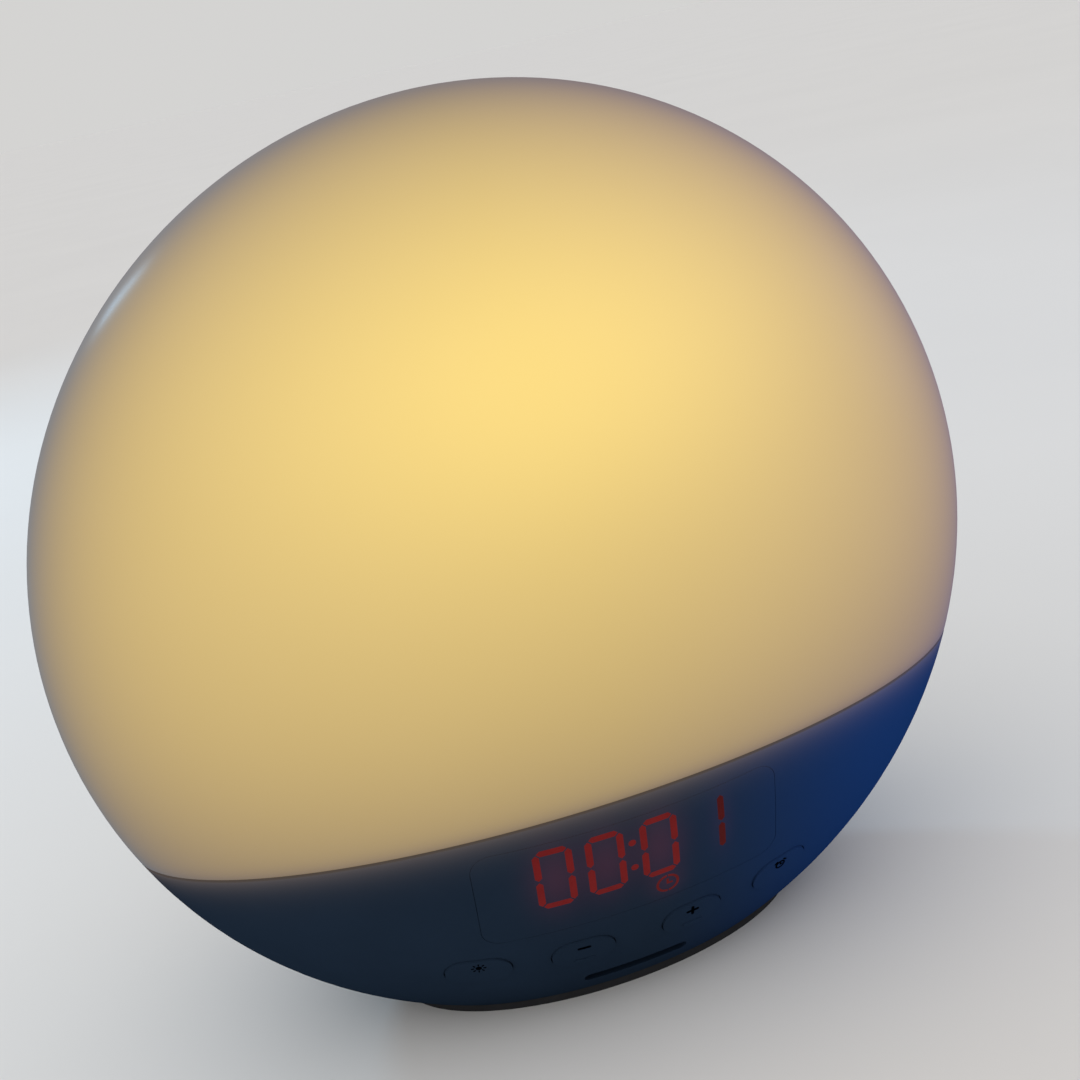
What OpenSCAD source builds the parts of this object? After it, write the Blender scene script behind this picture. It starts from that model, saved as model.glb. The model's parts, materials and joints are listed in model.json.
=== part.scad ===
// Sunrise alarm clock: a glowing pebble-shaped dome on a low housing that holds
// the clock display, four push buttons, the loudspeaker and the electronics.
// Millimetres. +Z is up, the clock faces -Y, and it stands on z = 0.

/* [Body] */
// Radius of the round outline, seen from the front
body_radius = 120; // [114:1:128]
// Half of the depth, from the middle to the foremost point
body_half_depth = 66; // [62:1:76]
// Depth that the flat underside cuts off the round outline
underside_cut = 14.5; // [13:0.5:17]
// Height of the rubber foot ring
foot_height = 2.5; // [1.5:0.5:4]
// Width of the rubber foot ring
foot_width = 3; // [2:0.25:3.5]

/* [Shells] */
// Wall of the opal dome
dome_wall = 2.2; // [1.8:0.1:2.6]
// Wall of the lower housing
base_wall = 2.6; // [2.2:0.1:3]
// Height of the parting plane above the foot, on the middle line
seam_height = 63; // [60:1:66]
// Rise of the parting plane towards the front, in degrees
seam_tilt = 5; // [2:1:7]
// Open line between the dome and the housing
reveal = 0.6; // [0.3:0.1:1]
// Depth that the dome's lip reaches into the housing
lip_depth = 2.6; // [1.6:0.2:3]
// Thickness of the dome's lip
lip_wall = 1.8; // [1.4:0.1:2.2]
// Height of the stiffened rim inside the dome's edge
rim_height = 2.4; // [1.6:0.2:2.8]
// Thickness of the base plate
plate_wall = 2.4; // [2:0.2:3]

/* [Deck] */
// Height of the deck's underside over the parting plane
deck_rise = 3; // [2.6:0.2:4]
// Thickness of the deck
deck_wall = 2; // [1.6:0.2:2.6]
// Height of the lamp pedestal over the deck
pedestal_rise = 5; // [4:0.5:8]
// Radius of the lamp pedestal
pedestal_radius = 30; // [28:1:34]
// Radius of the round heat shield under the lamp holder
shield_radius = 38.5; // [37:0.5:39.5]
// Thickness of the heat shield
shield_wall = 0.8; // [0.5:0.1:1.2]

/* [Lamp] */
// Diameter of the bulb's globe
bulb_diameter = 60; // [54:1:64]
// Length of the bulb from the cap's contact to the top of the glass
bulb_length = 104; // [98:1:110]
// Wall of the bulb's glass
glass_wall = 0.8; // [0.6:0.1:1]
// Height of the lamp holder
holder_height = 44; // [42:1:48]
// Outer radius of the lamp holder
holder_radius = 20; // [19:0.5:22]
// Outer radius of the screw cap over its thread crests
cap_radius = 13.1; // [12.9:0.1:13.3]

/* [Display] */
// Depth of the digits' centre below the parting plane
display_below_seam = 11; // [10:0.5:13]
// Lean of the display's face below the horizontal, in degrees
display_tilt = 16; // [14:1:18]
// Distance from one digit to the next
digit_pitch = 12.4; // [12:0.1:13.2]
// Extra room that the colon takes between the second and the third digit
colon_room = 1; // [0:0.2:1.6]
// Height of a digit
digit_height = 19; // [16:0.2:19.4]
// Width of a digit
digit_width = 9.4; // [7.6:0.2:9.6]
// Width of a lit bar
bar_width = 1.7; // [1.3:0.1:2]
// Width of the display lens
lens_width = 76; // [70:1:80]
// Thickness of the display lens
lens_wall = 3.9; // [3.5:0.1:4.2]
// Reach of the lens above the digits' centre
lens_above = 11.3; // [10.8:0.1:11.6]
// Reach of the lens below the digits' centre
lens_below = 18.7; // [18:0.1:19]

/* [Buttons] */
// Depth of the button row below the parting plane
button_below_seam = 39.5; // [39:0.5:40.5]
// Lean of the button row below the horizontal, in degrees
button_tilt = 28; // [26:1:30]
// Distance of the inner buttons from the middle
inner_button_x = 14.3; // [13:0.1:15]
// Distance of the outer buttons from the middle
outer_button_x = 40; // [39.5:0.5:43]
// Width of a button
button_width = 16; // [14:0.5:16.5]
// Height of a button
button_height = 10.5; // [9:0.5:11]
// How far a button stands proud of the housing
button_proud = 0.5; // [0.2:0.1:0.8]
// Travel of a button
button_travel = 0.8; // [0.4:0.1:1]
// Gap around a button
button_gap = 0.25; // [0.15:0.05:0.4]

/* [Air slot] */
// Width of the low air slot under the inner buttons
air_inlet_width = 28; // [22:1:32]
// Height of the air slot
air_inlet_height = 3.2; // [2:0.2:3.6]
// Height of the air slot's middle above the underside
air_inlet_rise = 7.2; // [6.4:0.2:8]

/* [Loudspeaker] */
// Depth of the loudspeaker's centre below the parting plane
speaker_below_seam = 27; // [26:0.5:29]
// Lean of the loudspeaker below the horizontal, in degrees
speaker_tilt = 22; // [20:1:25]
// Outer radius of the loudspeaker's basket
speaker_radius = 18.5; // [17:0.5:19]
// Depth of the loudspeaker
speaker_depth = 17; // [15:1:19]
// Distance between the grille's slots
grille_pitch = 4.6; // [4:0.2:5.2]
// Height of a slot in the grille
grille_slot = 2; // [1.4:0.2:2.4]

/* [Cords] */
// Diameter of the mains cord
mains_diameter = 5.2; // [4.8:0.1:5.6]
// Length of the mains cord's strain relief outside the housing
boot_length = 30; // [24:1:34]
// Turns of the mains cord's coil that lie side by side
coil_across = 4; // [3, 4, 5]
// Diameter of the aerial wire
aerial_diameter = 1.8; // [1.6:0.1:2.2]
// Distance of the two cord outlets from the middle
outlet_x = 36; // [34:1:38]
// Depth of the two cord outlets below the parting plane
outlet_below_seam = 31; // [29:1:33]

/* [Hidden] */
$fn = 96;
body_fn = 240;           // facets of the pebble's outline
small_fn = 32;           // facets of a small round shape
reach = 2 * body_radius; // long enough to pass through the whole body
cut_depth = 0.3 * body_half_depth; // reach of a shape that passes through one wall only
clear = 0.3;             // gap between pieces that lie side by side
fit_gap = 0.05;          // radial gap of a screw in its hole

// ---- places worked out from the driving sizes
centre_above_underside = body_radius - underside_cut;
centre_height = foot_height + centre_above_underside;
seam_drop = centre_height - seam_height;
display_drop = seam_drop + display_below_seam;
button_drop = seam_drop + button_below_seam;
outlet_drop = seam_drop + outlet_below_seam;
speaker_drop = seam_drop + speaker_below_seam;
seam_half_x = sqrt(pow(body_radius, 2) - pow(seam_drop, 2));
seam_half_y = seam_half_x * body_half_depth / body_radius;
lip_clear = 0.4;         // gap between the dome's lip and the housing
deck_clear = 0.6;        // gap between the deck's edge and the dome's rim
rim_joint = 0.6;         // how far the rim and the lugs grow into the dome's wall
rim_step = 0.4;          // how much lower the lip's inner edge ends than the rim
lip_inset = base_wall + lip_clear;
rim_inset = lip_inset + lip_wall;
deck_inset = rim_inset + deck_clear;
plate_top = foot_height + plate_wall;
underside_x = section_x(0);
opening_x = section_x(base_wall);
opening_y = opening_x * (body_half_depth - base_wall) / (body_radius - base_wall);
pedestal_top = seam_height + deck_rise + deck_wall + pedestal_rise;
wire_hole_radius = 7;
shield_lip = 4;
bracket_wall = 1.2;
bracket_radius = 15;
bracket_arm = 10;
bracket_hole = 6;
holder_bottom = pedestal_top + shield_wall + bracket_wall;
holder_screw_x = pedestal_radius - 6;
holder_boss_height = 8;
holder_boss_radius = pedestal_radius - holder_screw_x - 1;

// ---- lamp holder and bulb
holder_foot_radius = 16;
holder_foot_height = 6;
cup_depth = 32;          // depth of the holder's cup
cup_radius = cap_radius + 2.3;
thread_pitch = 3.62;
thread_depth = 0.9;
thread_turns = 6;
thread_clear = 0.35;
thread_sheet = 0.5;
thread_length = thread_turns * thread_pitch;
contact_height = 3;
contact_radius = 2.4;
contact_spring = [16, 4.8, 0.8];
insulator_height = 3;
insulator_tip = 5;
insulator_eyelet = 2;
cap_sheet = 0.6;
cap_collar = 4;
cup_floor = holder_bottom + holder_height - cup_depth;
cap_bottom = cup_floor + contact_height;
thread_bottom = cap_bottom + insulator_height;
globe_centre = cap_bottom + bulb_length - bulb_diameter / 2;
neck_radius = cap_radius - thread_depth - 1;
neck_bottom = thread_bottom + thread_length + 0.5;
capsule_radius = 5.5;
capsule_length = 30;
support_radius = 0.5;
support_x = 2.5;
cutout = [12, 7, 4];     // thermal cut-out
cutout_y = 29;
cutout_tab = [3, 4, 0.8];
lead_radius = 1.1;
lead_y = 4;

// ---- screws
screw_radius = 1.5;
screw_head_radius = 2.9;
screw_head_height = 2;
screw_play = 0.2;        // radial gap of a screw where it only passes through
drive_slot = [3.2, 0.7, 0.9];
pilot_radius = 1.1;      // bores that take the small screws
pilot_depth = 3.4;
small_hole = 1.3;        // holes that the small screws pass through
small_screw = 1;
board_screw_length = 4.5;
speaker_screw_length = 3;
holder_screw_length = 7;
dome_screw_length = 8;
plate_screw_length = 6;
head_recess = 1.2;       // how deep the base plate's screws are sunk
post_x = 43;        // deck posts
post_y = 11;
post_radius = 4.5;
post_bore = 3.5;
post_rib_height = 16;
rib_wall = 2;
post_shoulder = 5;  // solid end of a post, under the deck
deck_screw_length = 12;
deck_boss_height = 9;
lug_x = 0.755 * seam_half_x; // lugs inside the dome that take the deck's edge screws
lug_y = 0.458 * seam_half_y;
lug_angle = 50;
lug_radius = 4.2;
lug_height = 8;
plate_boss_x = opening_x - 5.5; // bosses that take the base plate's screws
plate_boss_y = opening_y - 4.3;
plate_boss_radius = 3.4;
plate_boss_height = 7;

// ---- boards
board_wall = 1.6;
main_board_x = 68;
main_board_y = 38;
standoff_height = 6;
standoff_x = 30;
standoff_y = 15;
standoff_radius = 3;
air_slots = 7;
air_pitch = 6;
air_slot = [2, 16];
foot_inset = [1.2, 0.6];
main_board_bottom = plate_top + standoff_height;
main_board_top = main_board_bottom + board_wall;
transformer = [26, 18, 22];
transformer_place = [-12, 2, main_board_top];
transformer_yoke = 5;
transformer_leg = 8;
transformer_side = 4;
transformer_window = (transformer.x - transformer_leg) / 2 - transformer_side;
winding_overhang = 3.5;
winding_clear = 0.1;
capacitor_places = [[12, -10], [25, -9], [8, 12]];
capacitor_sizes = [[5, 17], [4, 14], [3.2, 11]];  // radius and height
heatsink_place = [15, 2, main_board_top];
heatsink = [16, 1.6, 20];
heatsink_fin = [1.2, 7];
heatsink_fins = 4;
chip_places = [[-25, 13], [15, 12], [-30, -9]];
chip_sizes = [[14, 5, 2.4], [9, 4, 1.8], [4, 12, 9]];

// ---- display group, measured inwards along the display's own axis
lens_corner = 5;
lens_flange = 2;
lens_gap = 0.12;
icon_x = 7.9;
icon_y = -13.6;
icon_radius = 3;
icon_ring = 0.7;
icon_bridge = 0.3;
icon_hands = [1.9, 1.3]; // length of the long and of the short hand
icon_hand_width = 0.6;
bar_gap = 0.25;
dot_radius = bar_width / 2 + 0.1;
led = [1.6, 1, 0.7];
colon_rise = 4;
reflector_above = digit_height / 2 + 1.4;
reflector_below = icon_radius - icon_y + 0.8;
reflector_edge = 2.2;
reflector_width = 2 * (digit_x(3) + reflector_edge) + digit_width;
reflector_wall = 5;
reflector_depth = lens_wall * 1.1 + display_fall(reflector_width / 2, -reflector_below) + 0.4;
display_post_radius = 3.2;
display_post_x = lens_width / 2 + lens_flange + display_post_radius + 0.8;
display_post_y = -3;
display_board_width = 2 * (display_post_x + 5);
display_board_depth = reflector_depth + reflector_wall;
digits_lit = [[1, 1, 1, 1, 1, 1, 0], [1, 1, 1, 1, 1, 1, 0], [1, 1, 1, 1, 1, 1, 0], [0, 1, 1, 0, 0, 0, 0]];

// ---- button group, measured inwards along the buttons' own axis
button_board_depth = 15.5;
button_board_width = 100;
button_board_height = 14;
button_flange = 1.2;
button_flange_wall = 1.4;
button_inset = base_wall + clear + button_flange_wall;
button_post_x = (inner_button_x + outer_button_x) / 2;
button_post_radius = 2.5;
switch_side = 6;
switch_height = 3.6;
plunger_radius = 1.7;
plunger_rise = 1.4;
plunger_root = 1;
switch_bore_clear = 0.4;
stem_radius = 1.7;
stem_end = button_board_depth - switch_height - plunger_rise;
tactile_bar = [5, 0.9, 0.3];
tactile_bar_y = -3.1;

// ---- loudspeaker group, measured inwards along the loudspeaker's own axis
speaker_face_depth = base_wall + 4;
speaker_ear_x = 25;
speaker_ear_radius = 3;
speaker_boss_radius = 2.6;
speaker_rim = 3.5;
speaker_sheet = 0.8;
magnet_radius = 12.5;
magnet_height = 7;
cone_wall = 0.6;
cone_neck = 6;
grille_slots = 7;
vent_slots = 5;
vent_pitch = 6;
vent_start = 34;
vent_drop = seam_drop + 17;
vent_height = 12;
vent_width = 2;
air_inlet_drop = centre_above_underside - air_inlet_rise;
air_inlet_past = 0.7;   // how far the air slot's cut runs past the wall inside

// ---- cords. The points are in millimetres, on a table at z = 0.
boot_flange = 6.4;
boot_flange_wall = 2;
boot_grip = base_wall + 0.6;
boot_root = 4.9;
boot_tip = 3.3;
outlet_bore = 4.3;
aerial_bore = 2;
aerial_boot = 8;
aerial_flange = [3.4, 1.2];
aerial_root = 2.4;
aerial_tip = 1.5;
flange_gap = 0.3;   // gap between a cord's flange and the wall outside
mains_radius = mains_diameter / 2;
aerial_radius = aerial_diameter / 2;
mains_exit = outlet_point(-1) + outlet_normal(-1) * boot_length;
mains_start = mains_exit + outlet_normal(-1) * 12;
aerial_exit = outlet_point(1) + outlet_normal(1) * aerial_boot;
aerial_start = aerial_exit + outlet_normal(1) * 6;
cord_inside = 14;   // how far each cord reaches into the housing
tie_wall = 0.5;
tie_width = 8;
aerial_tie_width = 4;
coil_centre = [-14, 122, tie_wall];
coil_radius = 29;   // middle of the turns
coil_layers = 2;
aerial_coil_centre = [74, 80, tie_wall];
aerial_coil_radius = 10.8;
aerial_coil_across = 4;
aerial_coil_layers = 3;
mains_lead_points = [mains_start, [-47, 94, 9], [-49.5, 103, 5], [-50.6, 112, 3.2], [-50.8, 122, 3.1]];
mains_tail_points = [[-14, 158.8, 8.3], [-2, 158.8, 7.9], [10, 158.5, 6.6], [22, 156, 5.2], [33, 150, 5.4],
    [41, 141, 6.4], [44, 133, 6.8]];
aerial_lead_points = [aerial_start, [41.5, 64.5, 18], [45, 66.5, 9], [50, 67, 2.6], [56, 66.7, 1],
    [62, 66.5, 1.1], [68, 66.5, 1.3], [74, 66.5, 1.4]];
plug_centre = [44, 114, 6.8];
plug_length = 36;
plug_width = 33;
plug_height = 13.6;
plug_neck = 12;
plug_corner = 6.4;
plug_tip = 4.4;
plug_root = 6.6;
pin_radius = 2;
pin_length = 19;
pin_spacing = 19;

// ---- wiring held inside
supply_lead_radius = 0.9;
speaker_lead_radius = 0.7;
lamp_lead_points = [[0, 0, cup_floor + 0.5], [0, 0, seam_height + 2], [4, 0, seam_height - 10],
    [8, 0, main_board_top + 20], [8, 0, main_board_top + 0.1]];
supply_lead_points = [[-35, 26, 40], [-33, 12, 36], [-28.5, 0, 30], [-28, -3, 25],
    [-28, -3.2, main_board_top + 9.1]];
speaker_lead_root = [0.8, 8.4];  // start outside the basket's cone, and behind its rim
speaker_lead_start = at_speaker_point(speaker_radius - speaker_rim + speaker_lead_root.x,
    speaker_face_depth + speaker_lead_root.y);
speaker_lead_end = [2, 17, main_board_top + 0.1];
// shares of the way from the loudspeaker to the board, in x, y and z
speaker_lead_shares = [[0, 0, 0], [0.5, 0.37, 0.41], [1, 0.78, 0.62], [1, 0.96, 0.76], [1, 1, 1]];
speaker_lead_points = [for (share = speaker_lead_shares)
    [for (k = [0 : 2]) speaker_lead_start[k] + share[k] * (speaker_lead_end[k] - speaker_lead_start[k])]];
supply_lead_spread = [1.2, 0, 0];
speaker_lead_spread = [1.5, 0, 0];
ribbon_lift = [0.35, 0.6];
display_ribbon = [-22, 12];  // place and width
button_ribbon = [14, 8];
ribbon_root = 11;            // how far below the digits the display's ribbon starts
board_edge = [-17.5, main_board_top];

// Half of the body's width at the underside, inside a wall of the given thickness
function section_x(inset) = sqrt(pow(body_radius - inset, 2) - pow(centre_above_underside, 2));

// Half of the body's depth at a place x from the middle and drop below the centre
function half_depth_at(x, drop, inset = 0) =
    (body_half_depth - inset) * sqrt(max(0, 1 - (x * x + drop * drop) / pow(body_radius - inset, 2)));

// Middle of a digit, from 0 on the left to 3, with the colon's room between the pairs
function digit_x(i) = (i - 1.5) * digit_pitch + sign(i - 1.5) * colon_room / 2;

// How far the front face falls behind the display's plane at a place x, up from its centre
function display_fall(x, up) = cos(display_tilt) * (half_depth_at(0, display_drop) + up * sin(display_tilt)
    - half_depth_at(x, display_drop - up * cos(display_tilt)));

// How far the front face has curved back at x, measured along the buttons' axis
function curve_back(x) = (half_depth_at(0, button_drop) - half_depth_at(x, button_drop)) * cos(button_tilt);

// A point behind the loudspeaker's grille: down along its face, and inwards along its axis
function at_speaker_point(down, inward) = [
    0,
    half_depth_at(0, speaker_drop) - inward * cos(speaker_tilt) - down * sin(speaker_tilt),
    centre_height - speaker_drop + inward * sin(speaker_tilt) - down * cos(speaker_tilt)
];

function unit(v) = v / norm(v);
function outlet_point(side) =
    [side * outlet_x, half_depth_at(outlet_x, outlet_drop), centre_height - outlet_drop];
function outlet_normal(side) = unit([
    side * outlet_x / pow(body_radius, 2),
    half_depth_at(outlet_x, outlet_drop) / pow(body_half_depth, 2),
    -outlet_drop / pow(body_radius, 2)
]);

// A smooth curve through the given points, with steps pieces between each two
function curve_point(a, b, c, d, t) =
    0.5 * (2 * b + (c - a) * t + (2 * a - 5 * b + 4 * c - d) * t * t + (3 * b - a - 3 * c + d) * t * t * t);
function curve(points, steps) = let (last = len(points) - 1) concat(
    [for (i = [0 : last - 1]) for (k = [0 : steps - 1])
        curve_point(points[max(i - 1, 0)], points[i], points[i + 1], points[min(i + 2, last)], k / steps)],
    [points[last]]
);

// ---- shapes that several pieces share

// The pebble: a spheroid about the line from front to back, taken in by inset
module body_form(inset = 0) {
    translate([0, 0, centre_height])
        scale([1, (body_half_depth - inset) / (body_radius - inset), 1])
            sphere(r = body_radius - inset, $fn = body_fn);
}

// The space between two planes parallel to the parting plane
module seam_slab(low, high) {
    at_seam() translate([-reach, -reach, low]) cube([2 * reach, 2 * reach, high - low]);
}

module at_seam() {
    translate([0, 0, seam_height]) rotate([-seam_tilt, 0, 0]) children();
}

module below(z) {
    translate([-reach, -reach, z - reach]) cube([2 * reach, 2 * reach, reach]);
}

// Frames on the body's surface: local +Z points straight out, local +Y up along the face
module at_display() {
    translate([0, -half_depth_at(0, display_drop), centre_height - display_drop])
        rotate([90 + display_tilt, 0, 0]) children();
}

module at_buttons() {
    translate([0, -half_depth_at(0, button_drop), centre_height - button_drop])
        rotate([90 + button_tilt, 0, 0]) children();
}

module at_speaker() {
    translate([0, half_depth_at(0, speaker_drop), centre_height - speaker_drop])
        rotate([-90 - speaker_tilt, 0, 0]) children();
}

module at_outlet(side) {
    n = outlet_normal(side);
    translate(outlet_point(side)) rotate([0, acos(n.z), atan2(n.y, n.x)]) children();
}

// A tube of the given radius swept along a path that never runs along the line up
module tube(path, radius, sides = 8, up = [0, 0, 1]) {
    count = len(path);
    function along(i) = unit(path[min(i + 1, count - 1)] - path[max(i - 1, 0)]);
    function across(i) = unit(cross(along(i), up));
    ring_points = [for (i = [0 : count - 1]) let (u = across(i), v = cross(u, along(i)))
        for (k = [0 : sides - 1]) path[i] + radius * (cos(360 * k / sides) * u + sin(360 * k / sides) * v)];
    walls = [for (i = [0 : count - 2]) for (k = [0 : sides - 1]) let (n = (k + 1) % sides)
        [i * sides + k, i * sides + n, (i + 1) * sides + n, (i + 1) * sides + k]];
    caps = [[for (k = [sides - 1 : -1 : 0]) k], [for (k = [0 : sides - 1]) (count - 1) * sides + k]];
    polyhedron(ring_points, concat(walls, caps));
}

module ring(outer, inner, height) {
    difference() {
        cylinder(r = outer, h = height);
        translate([0, 0, -1]) cylinder(r = inner, h = height + 2);
    }
}

module rounded_plate(width, height, corner) {
    for (x = [-1, 1]) for (y = [-1, 1])
        translate([x * (width / 2 - corner), y * (height / 2 - corner)]) circle(r = corner, $fn = small_fn);
    square([width - 2 * corner, height], center = true);
    square([width, height - 2 * corner], center = true);
}

module ellipse(half_x, half_y) {
    scale([1, half_y / half_x]) circle(r = half_x);
}

// A pan-head screw, its head above z = 0 and its shank below
module screw(length, radius = screw_radius) {
    translate([0, 0, -length]) cylinder(r = radius, h = length, $fn = small_fn);
    difference() {
        cylinder(r = screw_head_radius, h = screw_head_height, $fn = small_fn);
        for (turn = [0, 90]) rotate(turn)
            translate([-drive_slot.x / 2, -drive_slot.y / 2, screw_head_height - drive_slot.z])
                cube(drive_slot + [0, 0, 1]);
    }
}

// A bore for a small screw, from the end of its post outwards
module pilot() {
    translate([0, 0, -1]) cylinder(r = pilot_radius, h = pilot_depth + 1, $fn = small_fn);
}

// A flat shape drawn out on both sides of one wall
module wall_cut() {
    translate([0, 0, -cut_depth]) linear_extrude(2 * cut_depth) children();
}

module four_posts() {
    for (x = [-1, 1]) for (y = [-1, 1]) translate([x * post_x, y * post_y, 0]) children();
}

module plate_screw_places() {
    for (s = [-1, 1]) {
        translate([s * plate_boss_x, 0, 0]) children();
        translate([0, s * plate_boss_y, 0]) children();
    }
}

// ---- outer shells

module lug_places() {
    for (x = [-1, 1]) for (y = [-1, 1])
        translate([x * lug_x, y * lug_y, 0])
            rotate(atan2(y * sin(lug_angle), x * cos(lug_angle))) children();
}

module dome_lugs() {
    difference() {
        intersection() {
            at_seam() lug_places() translate([0, 0, deck_rise + deck_wall]) {
                cylinder(r = lug_radius, h = lug_height, $fn = small_fn);
                translate([0, -lug_radius, 0]) cube([cut_depth, 2 * lug_radius, lug_height]);
            }
            body_form(dome_wall / 2);
        }
        at_seam() lug_places() translate([0, 0, deck_rise])
            cylinder(r = screw_radius + fit_gap, h = deck_wall + lug_height - 1, $fn = small_fn);
    }
}

module dome() {
    color("wheat") {
        dome_lugs();
        difference() {
            intersection() {
                body_form();
                seam_slab(reveal, reach);
            }
            body_form(dome_wall);
        }
        intersection() {
            difference() {
                body_form(dome_wall - rim_joint);
                body_form(rim_inset);
            }
            seam_slab(reveal, rim_height);
        }
        intersection() {
            difference() {
                body_form(lip_inset);
                body_form(rim_inset);
            }
            seam_slab(-lip_depth, rim_height - rim_step);
        }
    }
}

// Posts, bosses and ribs inside the lower housing, before they are trimmed to its wall
module base_inner_work() {
    four_posts() translate([0, 0, plate_top]) cylinder(r = post_radius, h = reach);
    for (x = [-1, 1]) for (y = [-1, 1])
        translate([x * (post_x + reach / 2), y * post_y, plate_top + post_rib_height / 2])
            cube([reach, rib_wall, post_rib_height], center = true);
    plate_screw_places() translate([0, 0, plate_top])
        cylinder(r = plate_boss_radius, h = plate_boss_height, $fn = small_fn);
    for (s = [-1, 1]) {
        translate([s * (plate_boss_x + reach / 2), 0, plate_top + plate_boss_height / 2])
            cube([reach, rib_wall, plate_boss_height], center = true);
        translate([0, s * (plate_boss_y + reach / 2), plate_top + plate_boss_height / 2])
            cube([rib_wall, reach, plate_boss_height], center = true);
    }
}

module front_board_posts() {
    at_display() for (s = [-1, 1])
        translate([s * display_post_x, display_post_y, -display_board_depth])
            cylinder(r = display_post_radius, h = display_board_depth, $fn = small_fn);
    at_buttons() for (s = [-1, 1])
        translate([s * button_post_x, 0, -button_board_depth])
            cylinder(r = button_post_radius, h = button_board_depth, $fn = small_fn);
    at_speaker() for (s = [-1, 1])
        translate([s * speaker_ear_x, 0, -speaker_face_depth])
            cylinder(r = speaker_boss_radius, h = speaker_face_depth, $fn = small_fn);
}

module lens_outline(grow = 0) {
    translate([0, (lens_above - lens_below) / 2])
        rounded_plate(lens_width + 2 * grow, lens_above + lens_below + 2 * grow, lens_corner + grow);
}

module button_outline(grow = 0) {
    half = button_height / 2;
    for (s = [-1, 1]) translate([s * (button_width / 2 - half), 0]) circle(r = half + grow, $fn = small_fn);
    square([button_width - button_height, button_height + 2 * grow], center = true);
}

module speaker_grille() {
    at_speaker() for (i = [0 : grille_slots - 1]) {
        y = (i - (grille_slots - 1) / 2) * grille_pitch;
        half = sqrt(pow(speaker_radius - speaker_rim, 2) - y * y);
        translate([-half, y - grille_slot / 2, clear - speaker_face_depth])
            cube([2 * half, grille_slot, cut_depth]);
    }
}

module rear_vents() {
    for (s = [-1, 1]) for (i = [0 : vent_slots - 1])
        translate([s * (vent_start + i * vent_pitch) - vent_width / 2, 0,
                centre_height - vent_drop - vent_height / 2])
            cube([vent_width, reach, vent_height]);
}

// A level slot with round ends, through the front wall only
module air_inlet() {
    half = air_inlet_height / 2;
    inner_face = half_depth_at(air_inlet_width / 2, air_inlet_drop + half, base_wall);
    translate([0, air_inlet_past - inner_face, centre_height - air_inlet_drop]) rotate([90, 0, 0])
        linear_extrude(cut_depth) {
            for (s = [-1, 1]) translate([s * (air_inlet_width / 2 - half), 0]) circle(r = half, $fn = small_fn);
            square([air_inlet_width - air_inlet_height, air_inlet_height], center = true);
        }
}

module base_shell() {
    color("darkslateblue") difference() {
        union() {
            difference() {
                body_form();
                body_form(base_wall);
                seam_slab(0, 2 * reach);
                below(foot_height);
            }
            intersection() {
                base_inner_work();
                body_form(base_wall / 2);
                seam_slab(-reach, deck_rise);
            }
            intersection() {
                front_board_posts();
                body_form(base_wall / 2);
            }
        }
        // deep bores for the deck's screws, and pilot holes for the others
        four_posts() {
            translate([0, 0, plate_top - 1])
                cylinder(r = post_bore, h = deck_screw_level - plate_top + 1, $fn = small_fn);
            translate([0, 0, plate_top]) cylinder(r = screw_radius + screw_play, h = reach, $fn = small_fn);
        }
        plate_screw_places() translate([0, 0, foot_height])
            cylinder(r = screw_radius + fit_gap, h = plate_wall + plate_boss_height - 1, $fn = small_fn);
        at_display() for (s = [-1, 1])
            translate([s * display_post_x, display_post_y, -display_board_depth]) pilot();
        at_buttons() for (s = [-1, 1]) translate([s * button_post_x, 0, -button_board_depth]) pilot();
        at_speaker() for (s = [-1, 1]) translate([s * speaker_ear_x, 0, -speaker_face_depth]) pilot();
        // openings in the wall
        at_display() wall_cut() lens_outline(lens_gap);
        at_buttons() for (x = button_places()) translate([x, 0, 0]) wall_cut() button_outline(button_gap);
        speaker_grille();
        rear_vents();
        air_inlet();
        at_outlet(-1) cylinder(r = outlet_bore, h = cut_depth, center = true, $fn = small_fn);
        at_outlet(1) cylinder(r = aerial_bore, h = cut_depth, center = true, $fn = small_fn);
    }
}

function button_places() = [-outer_button_x, -inner_button_x, inner_button_x, outer_button_x];

// Underside of the rear posts' solid ends, where the heads of the deck's screws sit
deck_screw_level = seam_height + deck_rise / cos(seam_tilt) - post_y * tan(seam_tilt) - post_shoulder;

module base_plate() {
    color("darkslategray") difference() {
        union() {
            translate([0, 0, foot_height]) linear_extrude(plate_wall)
                ellipse(opening_x - clear, opening_y - clear);
            for (x = [-1, 1]) for (y = [-1, 1]) translate([x * standoff_x, y * standoff_y, foot_height])
                cylinder(r = standoff_radius, h = plate_wall + standoff_height, $fn = small_fn);
        }
        plate_screw_places() translate([0, 0, foot_height - 1]) {
            cylinder(r = screw_radius + screw_play, h = plate_wall + 2, $fn = small_fn);
            cylinder(r = screw_head_radius + clear, h = head_recess + 1, $fn = small_fn);
        }
        for (x = [-1, 1]) for (y = [-1, 1]) translate([x * standoff_x, y * standoff_y, plate_top])
            cylinder(r = pilot_radius, h = standoff_height + 1, $fn = small_fn);
        for (i = [0 : air_slots - 1])
            translate([(i - (air_slots - 1) / 2) * air_pitch - air_slot.x / 2, -air_slot.y / 2, 0])
                cube([air_slot.x, air_slot.y, plate_top + 1]);
    }
}

module foot_ring() {
    outer_x = underside_x - foot_inset.x;
    outer_y = underside_x * body_half_depth / body_radius - foot_inset.y;
    color("black") intersection() {
        translate([0, 0, -1]) linear_extrude(foot_height + 2) difference() {
            ellipse(outer_x, outer_y);
            ellipse(outer_x - foot_width, outer_y - foot_width);
        }
        translate([-reach, -reach, 0]) cube([2 * reach, 2 * reach, foot_height]);
    }
}

// ---- deck and lamp

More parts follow.
